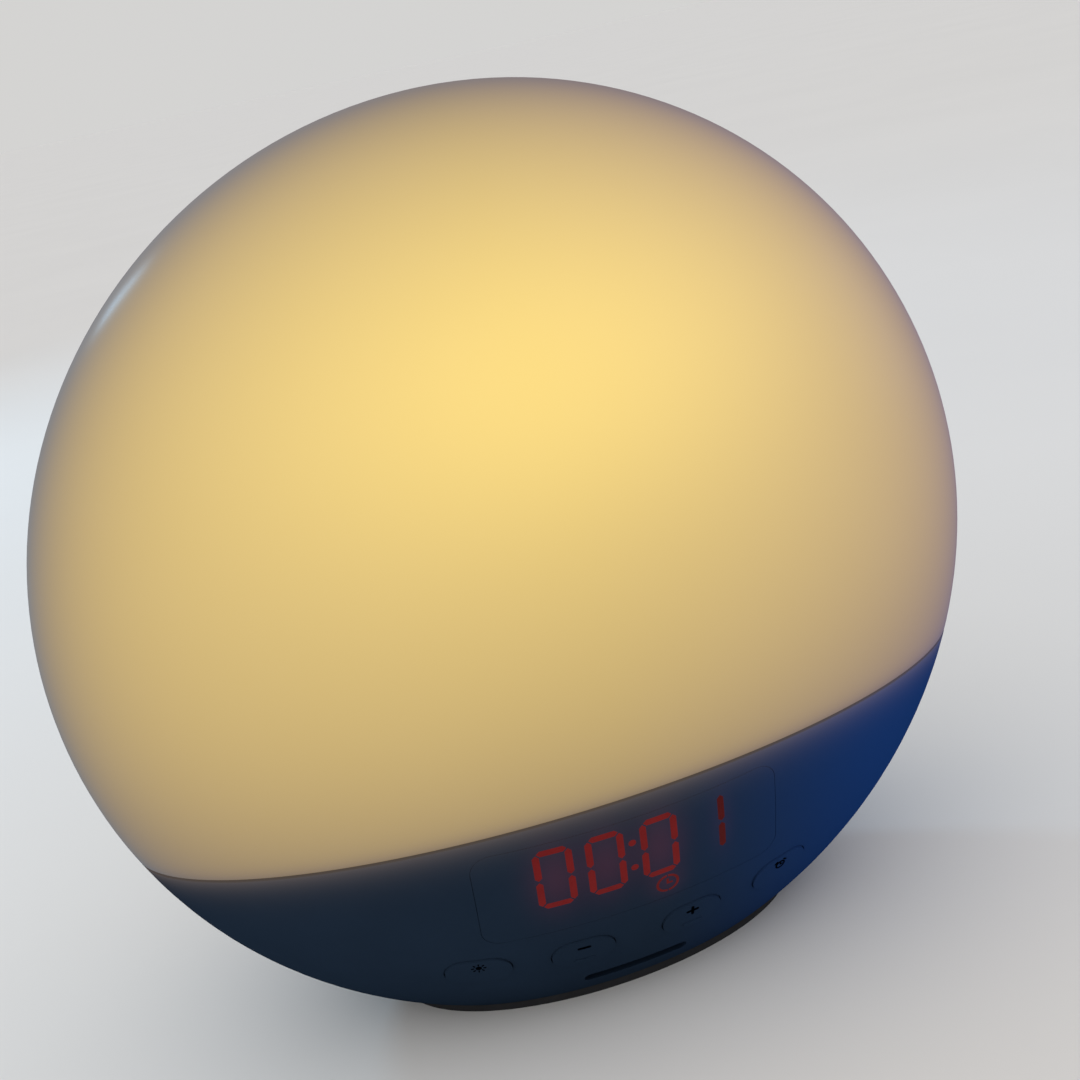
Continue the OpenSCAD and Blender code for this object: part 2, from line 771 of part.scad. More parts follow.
module reflector_deck() {
    color("white") difference() {
        union() {
            difference() {
                union() {
                    intersection() {
                        body_form(deck_inset);
                        seam_slab(deck_rise, deck_rise + deck_wall);
                    }
                    intersection() {
                        translate([0, 0, seam_height])
                            cylinder(r = pedestal_radius, h = pedestal_top - seam_height);
                        seam_slab(deck_rise, reach);
                    }
                }
                translate([0, 0, pedestal_top - deck_wall - reach])
                    cylinder(r = pedestal_radius - deck_wall, h = reach);
            }
            holder_screw_places() translate([0, 0, pedestal_top - holder_boss_height])
                cylinder(r = holder_boss_radius, h = holder_boss_height - 1, $fn = small_fn);
            intersection() {
                four_posts() translate([0, 0, seam_height])
                    cylinder(r = post_radius, h = reach, $fn = small_fn);
                seam_slab(deck_rise, deck_rise + deck_wall + deck_boss_height);
            }
        }
        translate([0, 0, seam_height]) cylinder(r = wire_hole_radius, h = reach, $fn = small_fn);
        four_posts() translate([0, 0, deck_screw_level])
            cylinder(r = screw_radius + fit_gap, h = deck_screw_length + 0.5, $fn = small_fn);
        at_seam() lug_places()
            cylinder(r = screw_radius + screw_play, h = deck_rise + 2 * deck_wall, $fn = small_fn);
        holder_screw_places() translate([0, 0, pedestal_top - holder_boss_height - 1])
            cylinder(r = screw_radius + fit_gap, h = holder_boss_height + 2, $fn = small_fn);
    }
}

module holder_screw_places() {
    for (s = [-1, 1]) translate([s * holder_screw_x, 0, 0]) children();
}

module heat_shield() {
    color("silver") translate([0, 0, pedestal_top]) difference() {
        union() {
            cylinder(r = shield_radius, h = shield_wall);
            ring(shield_radius, shield_radius - shield_wall, shield_lip);
        }
        translate([0, 0, -1]) cylinder(r = wire_hole_radius, h = shield_lip, $fn = small_fn);
        holder_screw_places() translate([0, 0, -1])
            cylinder(r = screw_radius + screw_play, h = shield_lip, $fn = small_fn);
    }
}

module holder_bracket() {
    color("gainsboro") translate([0, 0, pedestal_top + shield_wall]) difference() {
        linear_extrude(bracket_wall) union() {
            circle(r = bracket_radius);
            square([2 * holder_screw_x, bracket_arm], center = true);
            for (s = [-1, 1]) translate([s * holder_screw_x, 0]) circle(r = bracket_arm / 2, $fn = small_fn);
        }
        translate([0, 0, -1]) cylinder(r = bracket_hole, h = bracket_wall + 2, $fn = small_fn);
        holder_screw_places() translate([0, 0, -1])
            cylinder(r = screw_radius + screw_play, h = bracket_wall + 2, $fn = small_fn);
    }
}

module lamp_holder() {
    color("ivory") difference() {
        translate([0, 0, holder_bottom]) {
            cylinder(r = holder_foot_radius, h = holder_height);
            translate([0, 0, holder_foot_height])
                cylinder(r = holder_radius, h = holder_height - holder_foot_height);
        }
        translate([0, 0, thread_bottom]) cylinder(r = cup_radius, h = cup_depth);
        translate([0, 0, cup_floor]) cylinder(r = cap_radius, h = cup_depth);
        for (s = [-1, 1]) translate([0, s * lead_y, holder_bottom - 1])
            cylinder(r = lead_radius + clear, h = holder_height, $fn = small_fn);
    }
}

// The wavy outline of a screw thread, as [radius, height] points
function thread_wave(radius, turns) = [for (i = [0 : turns * 6])
    [radius - thread_depth / 2 - thread_depth / 2 * cos(60 * i + 180), i * thread_pitch / 6]];

module thread_sleeve(radius, sheet) {
    wave = thread_wave(radius, thread_turns);
    count = len(wave);
    rotate_extrude() polygon(concat(wave, [for (i = [count - 1 : -1 : 0]) wave[i] - [sheet, 0]]));
}

module holder_thread_shell() {
    color("goldenrod") translate([0, 0, thread_bottom]) {
        thread_sleeve(cap_radius + thread_clear + thread_sheet, thread_sheet);
        ring(cup_radius - fit_gap, cap_radius + thread_clear, thread_sheet);
    }
}

module holder_contact() {
    color("goldenrod") translate([0, 0, cup_floor]) {
        translate([-contact_spring.x / 2, -contact_spring.y / 2, 0]) cube(contact_spring);
        cylinder(r = contact_radius, h = contact_height, $fn = small_fn);
    }
}

module bulb_cap() {
    color("silver") translate([0, 0, thread_bottom]) {
        thread_sleeve(cap_radius, cap_sheet);
        translate([0, 0, thread_length]) ring(neck_radius + 1.4, neck_radius + 0.2, cap_collar);
    }
}

module bulb_insulator() {
    color("black") translate([0, 0, cap_bottom]) difference() {
        cylinder(r1 = insulator_tip, r2 = cap_radius - thread_depth - cap_sheet, h = insulator_height);
        translate([0, 0, 1]) cylinder(r = insulator_eyelet, h = insulator_height, $fn = small_fn);
    }
}

// The bulb's outline from the neck to the crown, as [radius, height] points
function globe_wave(radius, neck, neck_low, centre) = concat(
    [[neck, neck_low], [neck, neck_low + 4]],
    [for (t = [0.15 : 0.17 : 0.84]) let (join = radius * sin(50), join_low = centre - radius * cos(50))
        [neck + (join - neck) * (3 * t * t - 2 * t * t * t) * 0.6 + (join - neck) * t * 0.4,
            neck_low + 4 + (join_low - neck_low - 4) * t]],
    [for (a = [50 : 10 : 180]) [radius * sin(a), centre - radius * cos(a)]]
);

module bulb_glass() {
    outer = globe_wave(bulb_diameter / 2, neck_radius, neck_bottom, globe_centre);
    inner = globe_wave(bulb_diameter / 2 - glass_wall, neck_radius - glass_wall, neck_bottom, globe_centre);
    color("lightyellow") rotate_extrude()
        polygon(concat(outer, [for (i = [len(inner) - 1 : -1 : 0]) inner[i]]));
}

module bulb_capsule() {
    color("lightcyan") translate([0, 0, globe_centre - capsule_length / 2]) rotate_extrude() difference() {
        union() {
            square([capsule_radius, capsule_length]);
            translate([0, capsule_length]) intersection() {
                circle(r = capsule_radius, $fn = small_fn);
                square(capsule_radius + 1);
            }
        }
        translate([0, 5]) square([capsule_radius - 1, capsule_length - 5]);
    }
}

module bulb_support_wires() {
    color("gray") for (s = [-1, 1]) translate([s * support_x, 0, thread_bottom])
        cylinder(r = support_radius, h = globe_centre - capsule_length / 2 - thread_bottom, $fn = small_fn);
}

module thermal_cutout() {
    color("dimgray") translate([-cutout.x / 2, cutout_y, pedestal_top + shield_wall]) {
        cube(cutout);
        for (x = [-cutout_tab.x, cutout.x]) translate([x, (cutout.y - cutout_tab.y) / 2, 0]) cube(cutout_tab);
    }
}

// ---- display

// One straight bar with pointed ends, lying along X
module bar(length) {
    half = bar_width / 2;
    polygon([[-length / 2, 0], [half - length / 2, half], [length / 2 - half, half],
        [length / 2, 0], [length / 2 - half, -half], [half - length / 2, -half]]);
}

// The seven bars of a digit, in the order a to g, where lit says which are wanted
module digit(lit, wanted) {
    across = digit_width - bar_width - 2 * bar_gap;
    upright = (digit_height - bar_width) / 2 - 2 * bar_gap;
    side = (digit_width - bar_width) / 2;
    rise = (digit_height - bar_width) / 2;
    places = [[0, rise, 0], [side, rise / 2, 90], [side, -rise / 2, 90], [0, -rise, 0],
        [-side, -rise / 2, 90], [-side, rise / 2, 90], [0, 0, 0]];
    for (i = [0 : 6]) if (lit[i] == wanted)
        translate([places[i][0], places[i][1]]) rotate(places[i][2])
            bar(places[i][2] == 0 ? across : upright);
}

module digits(wanted) {
    for (i = [0 : 3]) translate([digit_x(i), 0]) digit(digits_lit[i], wanted);
}

module colon_and_icon() {
    for (s = [-1, 1]) translate([0, s * colon_rise]) circle(r = dot_radius, $fn = small_fn);
    translate([icon_x, icon_y]) {
        difference() {
            circle(r = icon_radius, $fn = small_fn);
            circle(r = icon_radius - icon_ring, $fn = small_fn);
            square([icon_bridge, 3 * icon_radius], center = true);
        }
        translate([-icon_hand_width / 2, -icon_hand_width / 2]) {
            square([icon_hand_width, icon_hands[0]]);
            square([icon_hands[1] + icon_hand_width / 2, icon_hand_width]);
        }
    }
}

module bars_2d(wanted) {
    digits(wanted);
    if (wanted == 1) colon_and_icon();
}

// The bars are light guides: they run through the lens and end flush with its face
module through_lens(bottom = lens_wall) {
    intersection() {
        at_display() wall_cut() children();
        difference() {
            body_form();
            body_form(bottom);
        }
    }
}

module display_lens() {
    color("midnightblue") difference() {
        union() {
            through_lens() lens_outline();
            intersection() {
                at_display() wall_cut() lens_outline(lens_flange);
                difference() {
                    body_form(base_wall + 0.1);
                    body_form(lens_wall);
                }
            }
        }
        at_display() wall_cut() {
            bars_2d(0);
            bars_2d(1);
        }
        // room for the dome's lip behind the lens's upper corners
        intersection() {
            body_form(base_wall);
            seam_slab(-lip_depth - clear, reach);
        }
    }
}

module display_bars_lit() {
    color("red") through_lens() bars_2d(1);
}

module display_bars_unlit() {
    color("maroon") through_lens() bars_2d(0);
}

module display_reflector() {
    color("whitesmoke") at_display() translate([0, 0, -display_board_depth]) difference() {
        translate([-reflector_width / 2, -reflector_below, 0])
            cube([reflector_width, reflector_above + reflector_below, reflector_wall]);
        for (i = [0 : 3]) translate([digit_x(i), 0, reflector_wall / 2])
            cube([digit_width + 0.8, digit_height + 0.8, reflector_wall + 2], center = true);
        for (s = [-1, 1]) translate([0, s * colon_rise, -1])
            cylinder(r = dot_radius + 0.2, h = reflector_wall + 2, $fn = small_fn);
        translate([icon_x, icon_y, -1])
            cylinder(r = icon_radius + 0.2, h = reflector_wall + 2, $fn = small_fn);
    }
}

module display_leds() {
    side = (digit_width - bar_width) / 2;
    rise = (digit_height - bar_width) / 2;
    spots = concat([for (x = [-side, side]) for (y = [-rise / 2, rise / 2]) [x, y]],
        [for (y = [-rise, 0, rise]) [0, y]]);
    color("khaki") at_display() translate([0, 0, -display_board_depth]) {
        for (i = [0 : 3]) for (s = spots)
            translate([digit_x(i) + s.x - led.x / 2, s.y - led.y / 2, 0]) cube(led);
        for (s = [-1, 1]) translate([-led.y / 2, s * colon_rise - led.y / 2, 0]) cube([led.y, led.y, led.z]);
        translate([icon_x - led.x / 2, icon_y - led.y / 2, 0]) cube(led);
    }
}

module display_board() {
    color("seagreen") at_display() translate([0, 0, -display_board_depth - board_wall]) difference() {
        translate([-display_board_width / 2, -reflector_below, 0])
            cube([display_board_width, reflector_above + reflector_below, board_wall]);
        for (s = [-1, 1]) translate([s * display_post_x, display_post_y, -1])
            cylinder(r = small_hole, h = board_wall + 2, $fn = small_fn);
    }
}

// ---- buttons

module button_column(x, grow = 0) {
    at_buttons() translate([x, 0, 0]) wall_cut() button_outline(grow);
}

module button(x, has_bar) {
    back = curve_back(x);
    color("slateblue") {
        intersection() {
            button_column(x);
            difference() {
                body_form(-button_proud);
                body_form(button_inset);
            }
        }
        intersection() {
            button_column(x, button_flange);
            difference() {
                body_form(base_wall + clear);
                body_form(button_inset);
            }
        }
        at_buttons() translate([x, 0, -stem_end])
            cylinder(r = stem_radius, h = stem_end - back - base_wall - clear, $fn = small_fn);
        if (has_bar) intersection() {
            at_buttons() translate([x - tactile_bar.x / 2, tactile_bar_y - tactile_bar.y / 2, -back - 1])
                cube([tactile_bar.x, tactile_bar.y, cut_depth]);
            body_form(-button_proud - tactile_bar.z);
        }
    }
}

module button_light() { button(-outer_button_x, false); }
module button_down() { button(-inner_button_x, true); }
module button_up() { button(inner_button_x, true); }
module button_alarm() { button(outer_button_x, false); }

module plunger(x) {
    color("black") at_buttons() translate([x, 0, -button_board_depth + switch_height - plunger_root])
        cylinder(r = plunger_radius, h = plunger_root + plunger_rise, $fn = small_fn);
}

module plunger_light() { plunger(-outer_button_x); }
module plunger_down() { plunger(-inner_button_x); }
module plunger_up() { plunger(inner_button_x); }
module plunger_alarm() { plunger(outer_button_x); }

module switch_housings() {
    color("dimgray") at_buttons() for (x = button_places()) translate([x, 0, -button_board_depth])
        difference() {
            translate([-switch_side / 2, -switch_side / 2, 0])
                cube([switch_side, switch_side, switch_height]);
            translate([0, 0, switch_height - plunger_root - button_travel - switch_bore_clear])
                cylinder(r = plunger_radius + fit_gap, h = switch_height, $fn = small_fn);
        }
}

module button_board() {
    color("seagreen") at_buttons() translate([0, 0, -button_board_depth - board_wall]) difference() {
        translate([-button_board_width / 2, -button_board_height / 2, 0])
            cube([button_board_width, button_board_height, board_wall]);
        for (s = [-1, 1]) translate([s * button_post_x, 0, -1])
            cylinder(r = small_hole, h = board_wall + 2, $fn = small_fn);
    }
}

// ---- electronics

module main_board() {
    color("seagreen") translate([0, 0, main_board_bottom]) difference() {
        translate([-main_board_x / 2, -main_board_y / 2, 0]) cube([main_board_x, main_board_y, board_wall]);
        for (x = [-1, 1]) for (y = [-1, 1]) translate([x * standoff_x, y * standoff_y, -1])
            cylinder(r = small_hole, h = board_wall + 2, $fn = small_fn);
    }
}

module transformer_core() {
    window = transformer_window;
    color("gray") translate(transformer_place) difference() {
        translate([-transformer.x / 2, -transformer.y / 2, 0]) cube(transformer);
        for (s = [-1, 1])
            translate([s * (transformer_leg + window) / 2 - window / 2, -reach / 2, transformer_yoke])
                cube([window, reach, transformer.z - 2 * transformer_yoke]);
    }
}

module transformer_winding() {
    window = transformer_window;
    wide = transformer_leg + 2 * (window - winding_clear);
    deep = transformer.y + 2 * winding_overhang;
    high = transformer.z - 2 * (transformer_yoke + winding_clear);
    color("sienna") translate(transformer_place + [0, 0, transformer_yoke + winding_clear]) difference() {
        translate([-wide / 2, -deep / 2, 0]) cube([wide, deep, high]);
        translate([-transformer_leg / 2 - winding_clear, -transformer.y / 2 - winding_clear, -1])
            cube([transformer_leg + 2 * winding_clear, transformer.y + 2 * winding_clear, high + 2]);
    }
}

module capacitors() {
    color("navy") for (i = [0 : len(capacitor_places) - 1])
        translate([capacitor_places[i].x, capacitor_places[i].y, main_board_top])
            cylinder(r = capacitor_sizes[i][0], h = capacitor_sizes[i][1], $fn = small_fn);
}

module dimmer_heatsink() {
    fin_pitch = (heatsink.x - heatsink_fin.x) / (heatsink_fins - 1);
    color("lightgray") translate(heatsink_place) {
        cube(heatsink);
        for (i = [0 : heatsink_fins - 1]) translate([i * fin_pitch, 0, 0])
            cube([heatsink_fin.x, heatsink_fin.y, heatsink.z]);
    }
}

module control_chips() {
    color("black") for (i = [0 : len(chip_places) - 1])
        translate([chip_places[i].x, chip_places[i].y, main_board_top]) cube(chip_sizes[i]);
}

module board_screws() {
    color("silver") {
        for (x = [-1, 1]) for (y = [-1, 1]) translate([x * standoff_x, y * standoff_y, main_board_top])
            screw(board_screw_length, small_screw);
        at_display() for (s = [-1, 1])
            translate([s * display_post_x, display_post_y, -display_board_depth - board_wall])
                rotate([180, 0, 0]) screw(board_screw_length, small_screw);
        at_buttons() for (s = [-1, 1])
            translate([s * button_post_x, 0, -button_board_depth - board_wall])
                rotate([180, 0, 0]) screw(board_screw_length, small_screw);
        at_speaker() for (s = [-1, 1])
            translate([s * speaker_ear_x, 0, -speaker_face_depth - speaker_sheet])
                rotate([180, 0, 0]) screw(speaker_screw_length, small_screw);
    }
}

module deck_screws() {
    color("silver") four_posts() translate([0, 0, deck_screw_level])
        rotate([180, 0, 0]) screw(deck_screw_length);
}

module dome_screws() {
    color("silver") at_seam() lug_places() translate([0, 0, deck_rise])
        rotate([180, 0, 0]) screw(dome_screw_length);
}

module plate_screws() {
    color("silver") plate_screw_places() translate([0, 0, foot_height + head_recess])
        rotate([180, 0, 0]) screw(plate_screw_length);
}

module holder_screws() {
    color("silver") holder_screw_places() translate([0, 0, holder_bottom]) screw(holder_screw_length);
}

// ---- loudspeaker

module speaker_basket() {
    throat = magnet_radius - 1;
    hole = speaker_radius - speaker_rim;
    drop = speaker_depth - magnet_height;
    color("darkgray") at_speaker() translate([0, 0, -speaker_face_depth]) difference() {
        union() {
            translate([0, 0, -speaker_sheet]) {
                ring(speaker_radius, hole, speaker_sheet);
                for (s = [-1, 1]) {
                    translate([s * speaker_ear_x, 0, 0])
                        cylinder(r = speaker_ear_radius, h = speaker_sheet, $fn = small_fn);
                    translate([s * (speaker_ear_x + hole) / 2, 0, speaker_sheet / 2])
                        cube([speaker_ear_x - hole, 2 * speaker_ear_radius, speaker_sheet], center = true);
                }
            }
            translate([0, 0, -drop]) rotate_extrude() polygon([[throat, 0], [magnet_radius, 0],
                [hole + 1, drop - speaker_sheet], [hole + 1, drop], [hole, drop], [throat, speaker_sheet]]);
        }
        for (s = [-1, 1]) translate([s * speaker_ear_x, 0, -2])
            cylinder(r = small_hole, h = 4, $fn = small_fn);
    }
}

module speaker_cone() {
    edge = speaker_radius - speaker_rim - 0.3;
    drop = speaker_depth - magnet_height - 2;
    color("black") at_speaker() translate([0, 0, -speaker_face_depth - drop]) {
        rotate_extrude()
            polygon([[cone_neck, 0], [edge, drop], [edge, drop + cone_wall], [cone_neck, cone_wall]]);
        cylinder(r = cone_neck + 0.2, h = cone_wall);
        translate([0, 0, drop]) ring(edge + 1.4, edge - 0.3, cone_wall);
    }
}

module speaker_magnet() {
    drop = speaker_depth - magnet_height;
    color("dimgray") at_speaker() translate([0, 0, -speaker_face_depth - drop - magnet_height])
        cylinder(r = magnet_radius, h = magnet_height);
}

// ---- wiring

module wire_pair(path, spread, radius) {
    for (s = [-1, 1]) tube(curve([for (p = path) p + s * spread], 3), radius, up = [1, 0, 0.2]);
}

module lamp_leads() {
    color("white") wire_pair(lamp_lead_points, [0, lead_y, 0], lead_radius);
}

module supply_leads() {
    start = outlet_point(-1) - outlet_normal(-1) * (cord_inside + supply_lead_radius);
    color("saddlebrown")
        wire_pair(concat([start], supply_lead_points), supply_lead_spread, supply_lead_radius);
}

module speaker_leads() {
    color("crimson") wire_pair(speaker_lead_points, speaker_lead_spread, speaker_lead_radius);
}

// A flat cable, width wide from x on, along a route in the plane from front to back
module ribbon(x, width, route) {
    last = len(route) - 1;
    translate([x, 0, 0]) rotate([90, 0, 90]) linear_extrude(width)
        polygon(concat(route, [for (i = [last : -1 : 0]) route[i] + ribbon_lift]));
}

module ribbon_cables() {
    display_back = display_board_depth + board_wall;
    button_back = button_board_depth + board_wall;
    display_start = [
        display_back * cos(display_tilt) - half_depth_at(0, display_drop) + ribbon_root * sin(display_tilt),
        centre_height - display_drop + display_back * sin(display_tilt) - ribbon_root * cos(display_tilt)
    ];
    button_start = [
        button_back * cos(button_tilt) - half_depth_at(0, button_drop),
        centre_height - button_drop + button_back * sin(button_tilt)
    ];
    color("gainsboro") {
        ribbon(display_ribbon[0], display_ribbon[1],
            [display_start, display_start + [8, -5], [-25, 27], [-19, 17], board_edge]);
        ribbon(button_ribbon[0], button_ribbon[1],
            [button_start, button_start + [5, -3], [-21, 20], board_edge]);
    }
}

// ---- cords and plug

module mains_boot() {
    color("dimgray") at_outlet(-1) difference() {
        union() {
            translate([0, 0, -boot_grip - boot_flange_wall])
                cylinder(r = boot_flange, h = boot_flange_wall);
            translate([0, 0, -boot_grip - 1]) cylinder(r = outlet_bore - fit_gap, h = boot_grip + 2);
            translate([0, 0, flange_gap]) cylinder(r = boot_flange, h = boot_flange_wall);
            translate([0, 0, boot_flange_wall])
                cylinder(r1 = boot_root, r2 = boot_tip, h = boot_length - boot_flange_wall);
        }
        translate([0, 0, -cut_depth]) cylinder(r = mains_radius + fit_gap, h = boot_length + 2 * cut_depth);
    }
}

// The cord's straight stretch from inside the housing to the end of its strain relief
function through_wall(side, outside) = [
    outlet_point(side) - outlet_normal(side) * cord_inside,
    outlet_point(side),
    outlet_point(side) + outlet_normal(side) * outside
];

module mains_cord_lead() {
    color("silver")
        tube(concat(through_wall(-1, boot_length), curve(mains_lead_points, 2)), mains_radius, 10);
}

module coil_solid(centre, radius, wire, across, layers) {
    wide = across * wire;
    translate(centre) rotate_extrude() translate([radius - wide / 2, 0]) square([wide, layers * wire]);
}

module mains_cord_coil() {
    color("silver") coil_solid(coil_centre, coil_radius, mains_diameter, coil_across, coil_layers);
}

module mains_cord_tail() {
    color("silver") tube(curve(mains_tail_points, 2), mains_radius, 10);
}

// A strap round a coil's bundle, at the coil's side
module tie(centre, radius, wire, across, layers, width) {
    inner = radius - across * wire / 2;
    slack = inner - sqrt(inner * inner - width * width / 4) + fit_gap;
    wide = across * wire + slack + fit_gap;
    high = layers * wire + fit_gap;
    translate([centre.x + inner - slack, centre.y, 0]) difference() {
        translate([-tie_wall, -width / 2, 0]) cube([wide + 2 * tie_wall, width, high + 2 * tie_wall]);
        translate([0, -width, tie_wall]) cube([wide, 2 * width, high]);
    }
}

module cord_ties() {
    color("black") {
        tie(coil_centre, coil_radius, mains_diameter, coil_across, coil_layers, tie_width);
        tie(aerial_coil_centre, aerial_coil_radius, aerial_diameter, aerial_coil_across,
            aerial_coil_layers, aerial_tie_width);
    }
}

module plug_body() {
    color("silver") translate(plug_centre + [0, plug_length / 2, 0]) rotate([90, 0, 0]) difference() {
        union() {
            translate([0, 0, plug_neck]) linear_extrude(plug_length - plug_neck)
                rounded_plate(plug_width, plug_height, plug_corner);
            cylinder(r1 = plug_tip, r2 = plug_root, h = plug_neck + 1);
        }
        translate([0, 0, -1]) cylinder(r = mains_radius + fit_gap, h = 5);
    }
}

module plug_pins() {
    color("gold") for (s = [-1, 1])
        translate([plug_centre.x + s * pin_spacing / 2, plug_centre.y - plug_length / 2, plug_centre.z])
            rotate([90, 0, 0]) cylinder(r = pin_radius, h = pin_length, $fn = small_fn);
}

module aerial_grommet() {
    color("dimgray") at_outlet(1) difference() {
        union() {
            translate([0, 0, -boot_grip - aerial_flange[1]])
                cylinder(r = aerial_flange[0], h = aerial_flange[1], $fn = small_fn);
            translate([0, 0, -boot_grip - 1])
                cylinder(r = aerial_bore - fit_gap, h = boot_grip + 2, $fn = small_fn);
            translate([0, 0, flange_gap])
                cylinder(r = aerial_flange[0], h = aerial_flange[1], $fn = small_fn);
            translate([0, 0, aerial_flange[1]])
                cylinder(r1 = aerial_root, r2 = aerial_tip, h = aerial_boot - aerial_flange[1],
                    $fn = small_fn);
        }
        translate([0, 0, -cut_depth])
            cylinder(r = aerial_radius + fit_gap, h = aerial_boot + 2 * cut_depth, $fn = small_fn);
    }
}

module aerial_lead() {
    color("silver")
        tube(concat(through_wall(1, aerial_boot), curve(aerial_lead_points, 2)), aerial_radius, 8);
}

module aerial_coil() {
    color("silver") coil_solid(aerial_coil_centre, aerial_coil_radius, aerial_diameter, aerial_coil_across,
        aerial_coil_layers);
}

dome();
base_shell();
base_plate();
foot_ring();
reflector_deck();
heat_shield();
holder_bracket();
lamp_holder();
holder_thread_shell();
holder_contact();
bulb_glass();
bulb_cap();
bulb_insulator();
bulb_capsule();
bulb_support_wires();
thermal_cutout();
display_lens();
display_bars_lit();
display_bars_unlit();
display_reflector();
display_leds();
display_board();
button_light();
button_down();
button_up();
button_alarm();
plunger_light();
plunger_down();
plunger_up();
plunger_alarm();
switch_housings();
button_board();
main_board();
transformer_core();
transformer_winding();
capacitors();
dimmer_heatsink();
control_chips();
speaker_basket();
speaker_cone();
speaker_magnet();
lamp_leads();
supply_leads();
speaker_leads();
ribbon_cables();
deck_screws();
dome_screws();
plate_screws();
board_screws();
holder_screws();
mains_boot();
mains_cord_lead();
mains_cord_coil();
mains_cord_tail();
cord_ties();
plug_body();
plug_pins();
aerial_grommet();
aerial_lead();
aerial_coil();
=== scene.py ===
import json
import math
import bmesh
import bpy
from mathutils import Matrix, Vector


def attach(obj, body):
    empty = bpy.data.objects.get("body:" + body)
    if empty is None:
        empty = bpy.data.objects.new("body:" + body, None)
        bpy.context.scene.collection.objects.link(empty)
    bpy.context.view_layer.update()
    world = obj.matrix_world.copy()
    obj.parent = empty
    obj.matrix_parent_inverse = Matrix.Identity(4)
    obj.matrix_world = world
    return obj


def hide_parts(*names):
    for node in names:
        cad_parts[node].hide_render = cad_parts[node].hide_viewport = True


for spare in ("Cube", "Light", "Camera"):
    if spare in bpy.data.objects:
        bpy.data.objects.remove(bpy.data.objects[spare])

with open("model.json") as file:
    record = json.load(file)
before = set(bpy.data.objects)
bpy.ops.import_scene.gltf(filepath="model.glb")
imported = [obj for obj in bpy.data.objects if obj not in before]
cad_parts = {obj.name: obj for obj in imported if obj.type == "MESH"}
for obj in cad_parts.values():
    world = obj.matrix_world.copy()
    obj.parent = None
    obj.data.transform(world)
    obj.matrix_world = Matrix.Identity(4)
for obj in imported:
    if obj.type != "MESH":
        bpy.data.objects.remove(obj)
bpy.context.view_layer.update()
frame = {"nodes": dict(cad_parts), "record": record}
nodes = frame["nodes"]
for plain in list(bpy.data.materials):
    bpy.data.materials.remove(plain)
MM = 0.001

# ---------------------------------------------------------------- the clock's main measures

# in millimetres, as the shader groups take them
half_width_mm, half_depth_mm, centre_mm, seam_mm = 120.0, 66.0, 108.0, 63.0
display_forward_mm, display_up_mm = 58.4, 52.0

# in metres
body_half_width = half_width_mm * MM
body_half_depth = half_depth_mm * MM
body_centre_height = centre_mm * MM
seam_height = seam_mm * MM
seam_tilt = math.radians(5)
seam_up = Vector((0, math.sin(seam_tilt), math.cos(seam_tilt)))
seam_gap = 0.6 * MM
dome_wall = 2.2 * MM

display_turn = math.radians(106)
buttons_centre = Vector((0, -46.86, 23.5)) * MM
buttons_turn = math.radians(118)
button_places = {"light": -40 * MM, "down": -14.3 * MM, "up": 14.3 * MM, "alarm": 40 * MM}
button_proud = 0.5 * MM

mains_outlet = Vector((-36, 47.1, 32)) * MM
aerial_outlet = Vector((36, 47.1, 32)) * MM
mains_outward = Vector((-0.2034, 0.8798, -0.4296)).normalized()
aerial_outward = Vector((0.2034, 0.8798, -0.4296)).normalized()
mains_thick = 5.2 * MM
aerial_thick = 1.8 * MM
plug_middle = Vector((44, 108, 6.8)) * MM
plug_pin_apart = 9.5

# ---------------------------------------------------------------- camera

bpy.ops.object.camera_add(
    location=(-0.07128, -0.35744, 0.23447),
    rotation=[math.radians(turn) for turn in (71.2492, 11.5027, -16.1761)])
camera = bpy.context.object
camera.name = "camera"
camera.data.lens = 50
camera.data.sensor_width = 36
camera.data.clip_start = 0.01
bpy.context.scene.camera = camera
bpy.context.scene.view_settings.view_transform = "Standard"


# ---------------------------------------------------------------- hands: small moves used on every piece

def let_go():
    """Leaves edit mode with nothing selected."""
    if bpy.context.object and bpy.context.object.mode != "OBJECT":
        bpy.ops.object.mode_set(mode="OBJECT")
    bpy.ops.object.select_all(action="DESELECT")


def take(piece):
    """Makes this piece the only one selected."""
    let_go()
    piece.hide_set(False)
    piece.select_set(True)
    bpy.context.view_layer.objects.active = piece


def open_mesh(piece, choose="EDGE"):
    """Opens the piece in edit mode with nothing chosen."""
    take(piece)
    bpy.ops.object.mode_set(mode="EDIT")
    bpy.ops.mesh.select_mode(type=choose)
    bpy.ops.mesh.select_all(action="DESELECT")


def choose_faces(piece, wanted):
    """Chooses the faces whose middle and normal pass the test."""
    mesh = bmesh.from_edit_mesh(piece.data)
    bpy.ops.mesh.select_mode(type="FACE")
    for face in mesh.faces:
        face.select_set(bool(wanted(face.calc_center_median(), face.normal)))
    bmesh.update_edit_mesh(piece.data)


def choose_edges(piece, wanted):
    """Chooses the edges whose two ends pass the test."""
    mesh = bmesh.from_edit_mesh(piece.data)
    bpy.ops.mesh.select_mode(type="EDGE")
    for edge in mesh.edges:
        edge.select_set(bool(wanted(edge.verts[0].co, edge.verts[1].co)))
    bmesh.update_edit_mesh(piece.data)


def settle(piece, smooth_under=40):
    """Puts the piece's place, turn and size into its mesh, and shades it."""
    take(piece)
    bpy.ops.object.transform_apply(location=True, rotation=True, scale=True)
    bpy.ops.object.shade_smooth_by_angle(angle=math.radians(smooth_under))


def named(name):
    piece = bpy.context.object
    piece.name = name
    piece.data.name = name
    return piece


def weld(pieces, name):
    """Joins several loose shapes into one piece."""
    let_go()
    for piece in pieces:
        piece.select_set(True)
    bpy.context.view_layer.objects.active = pieces[0]
    bpy.ops.object.join()
    return named(name)


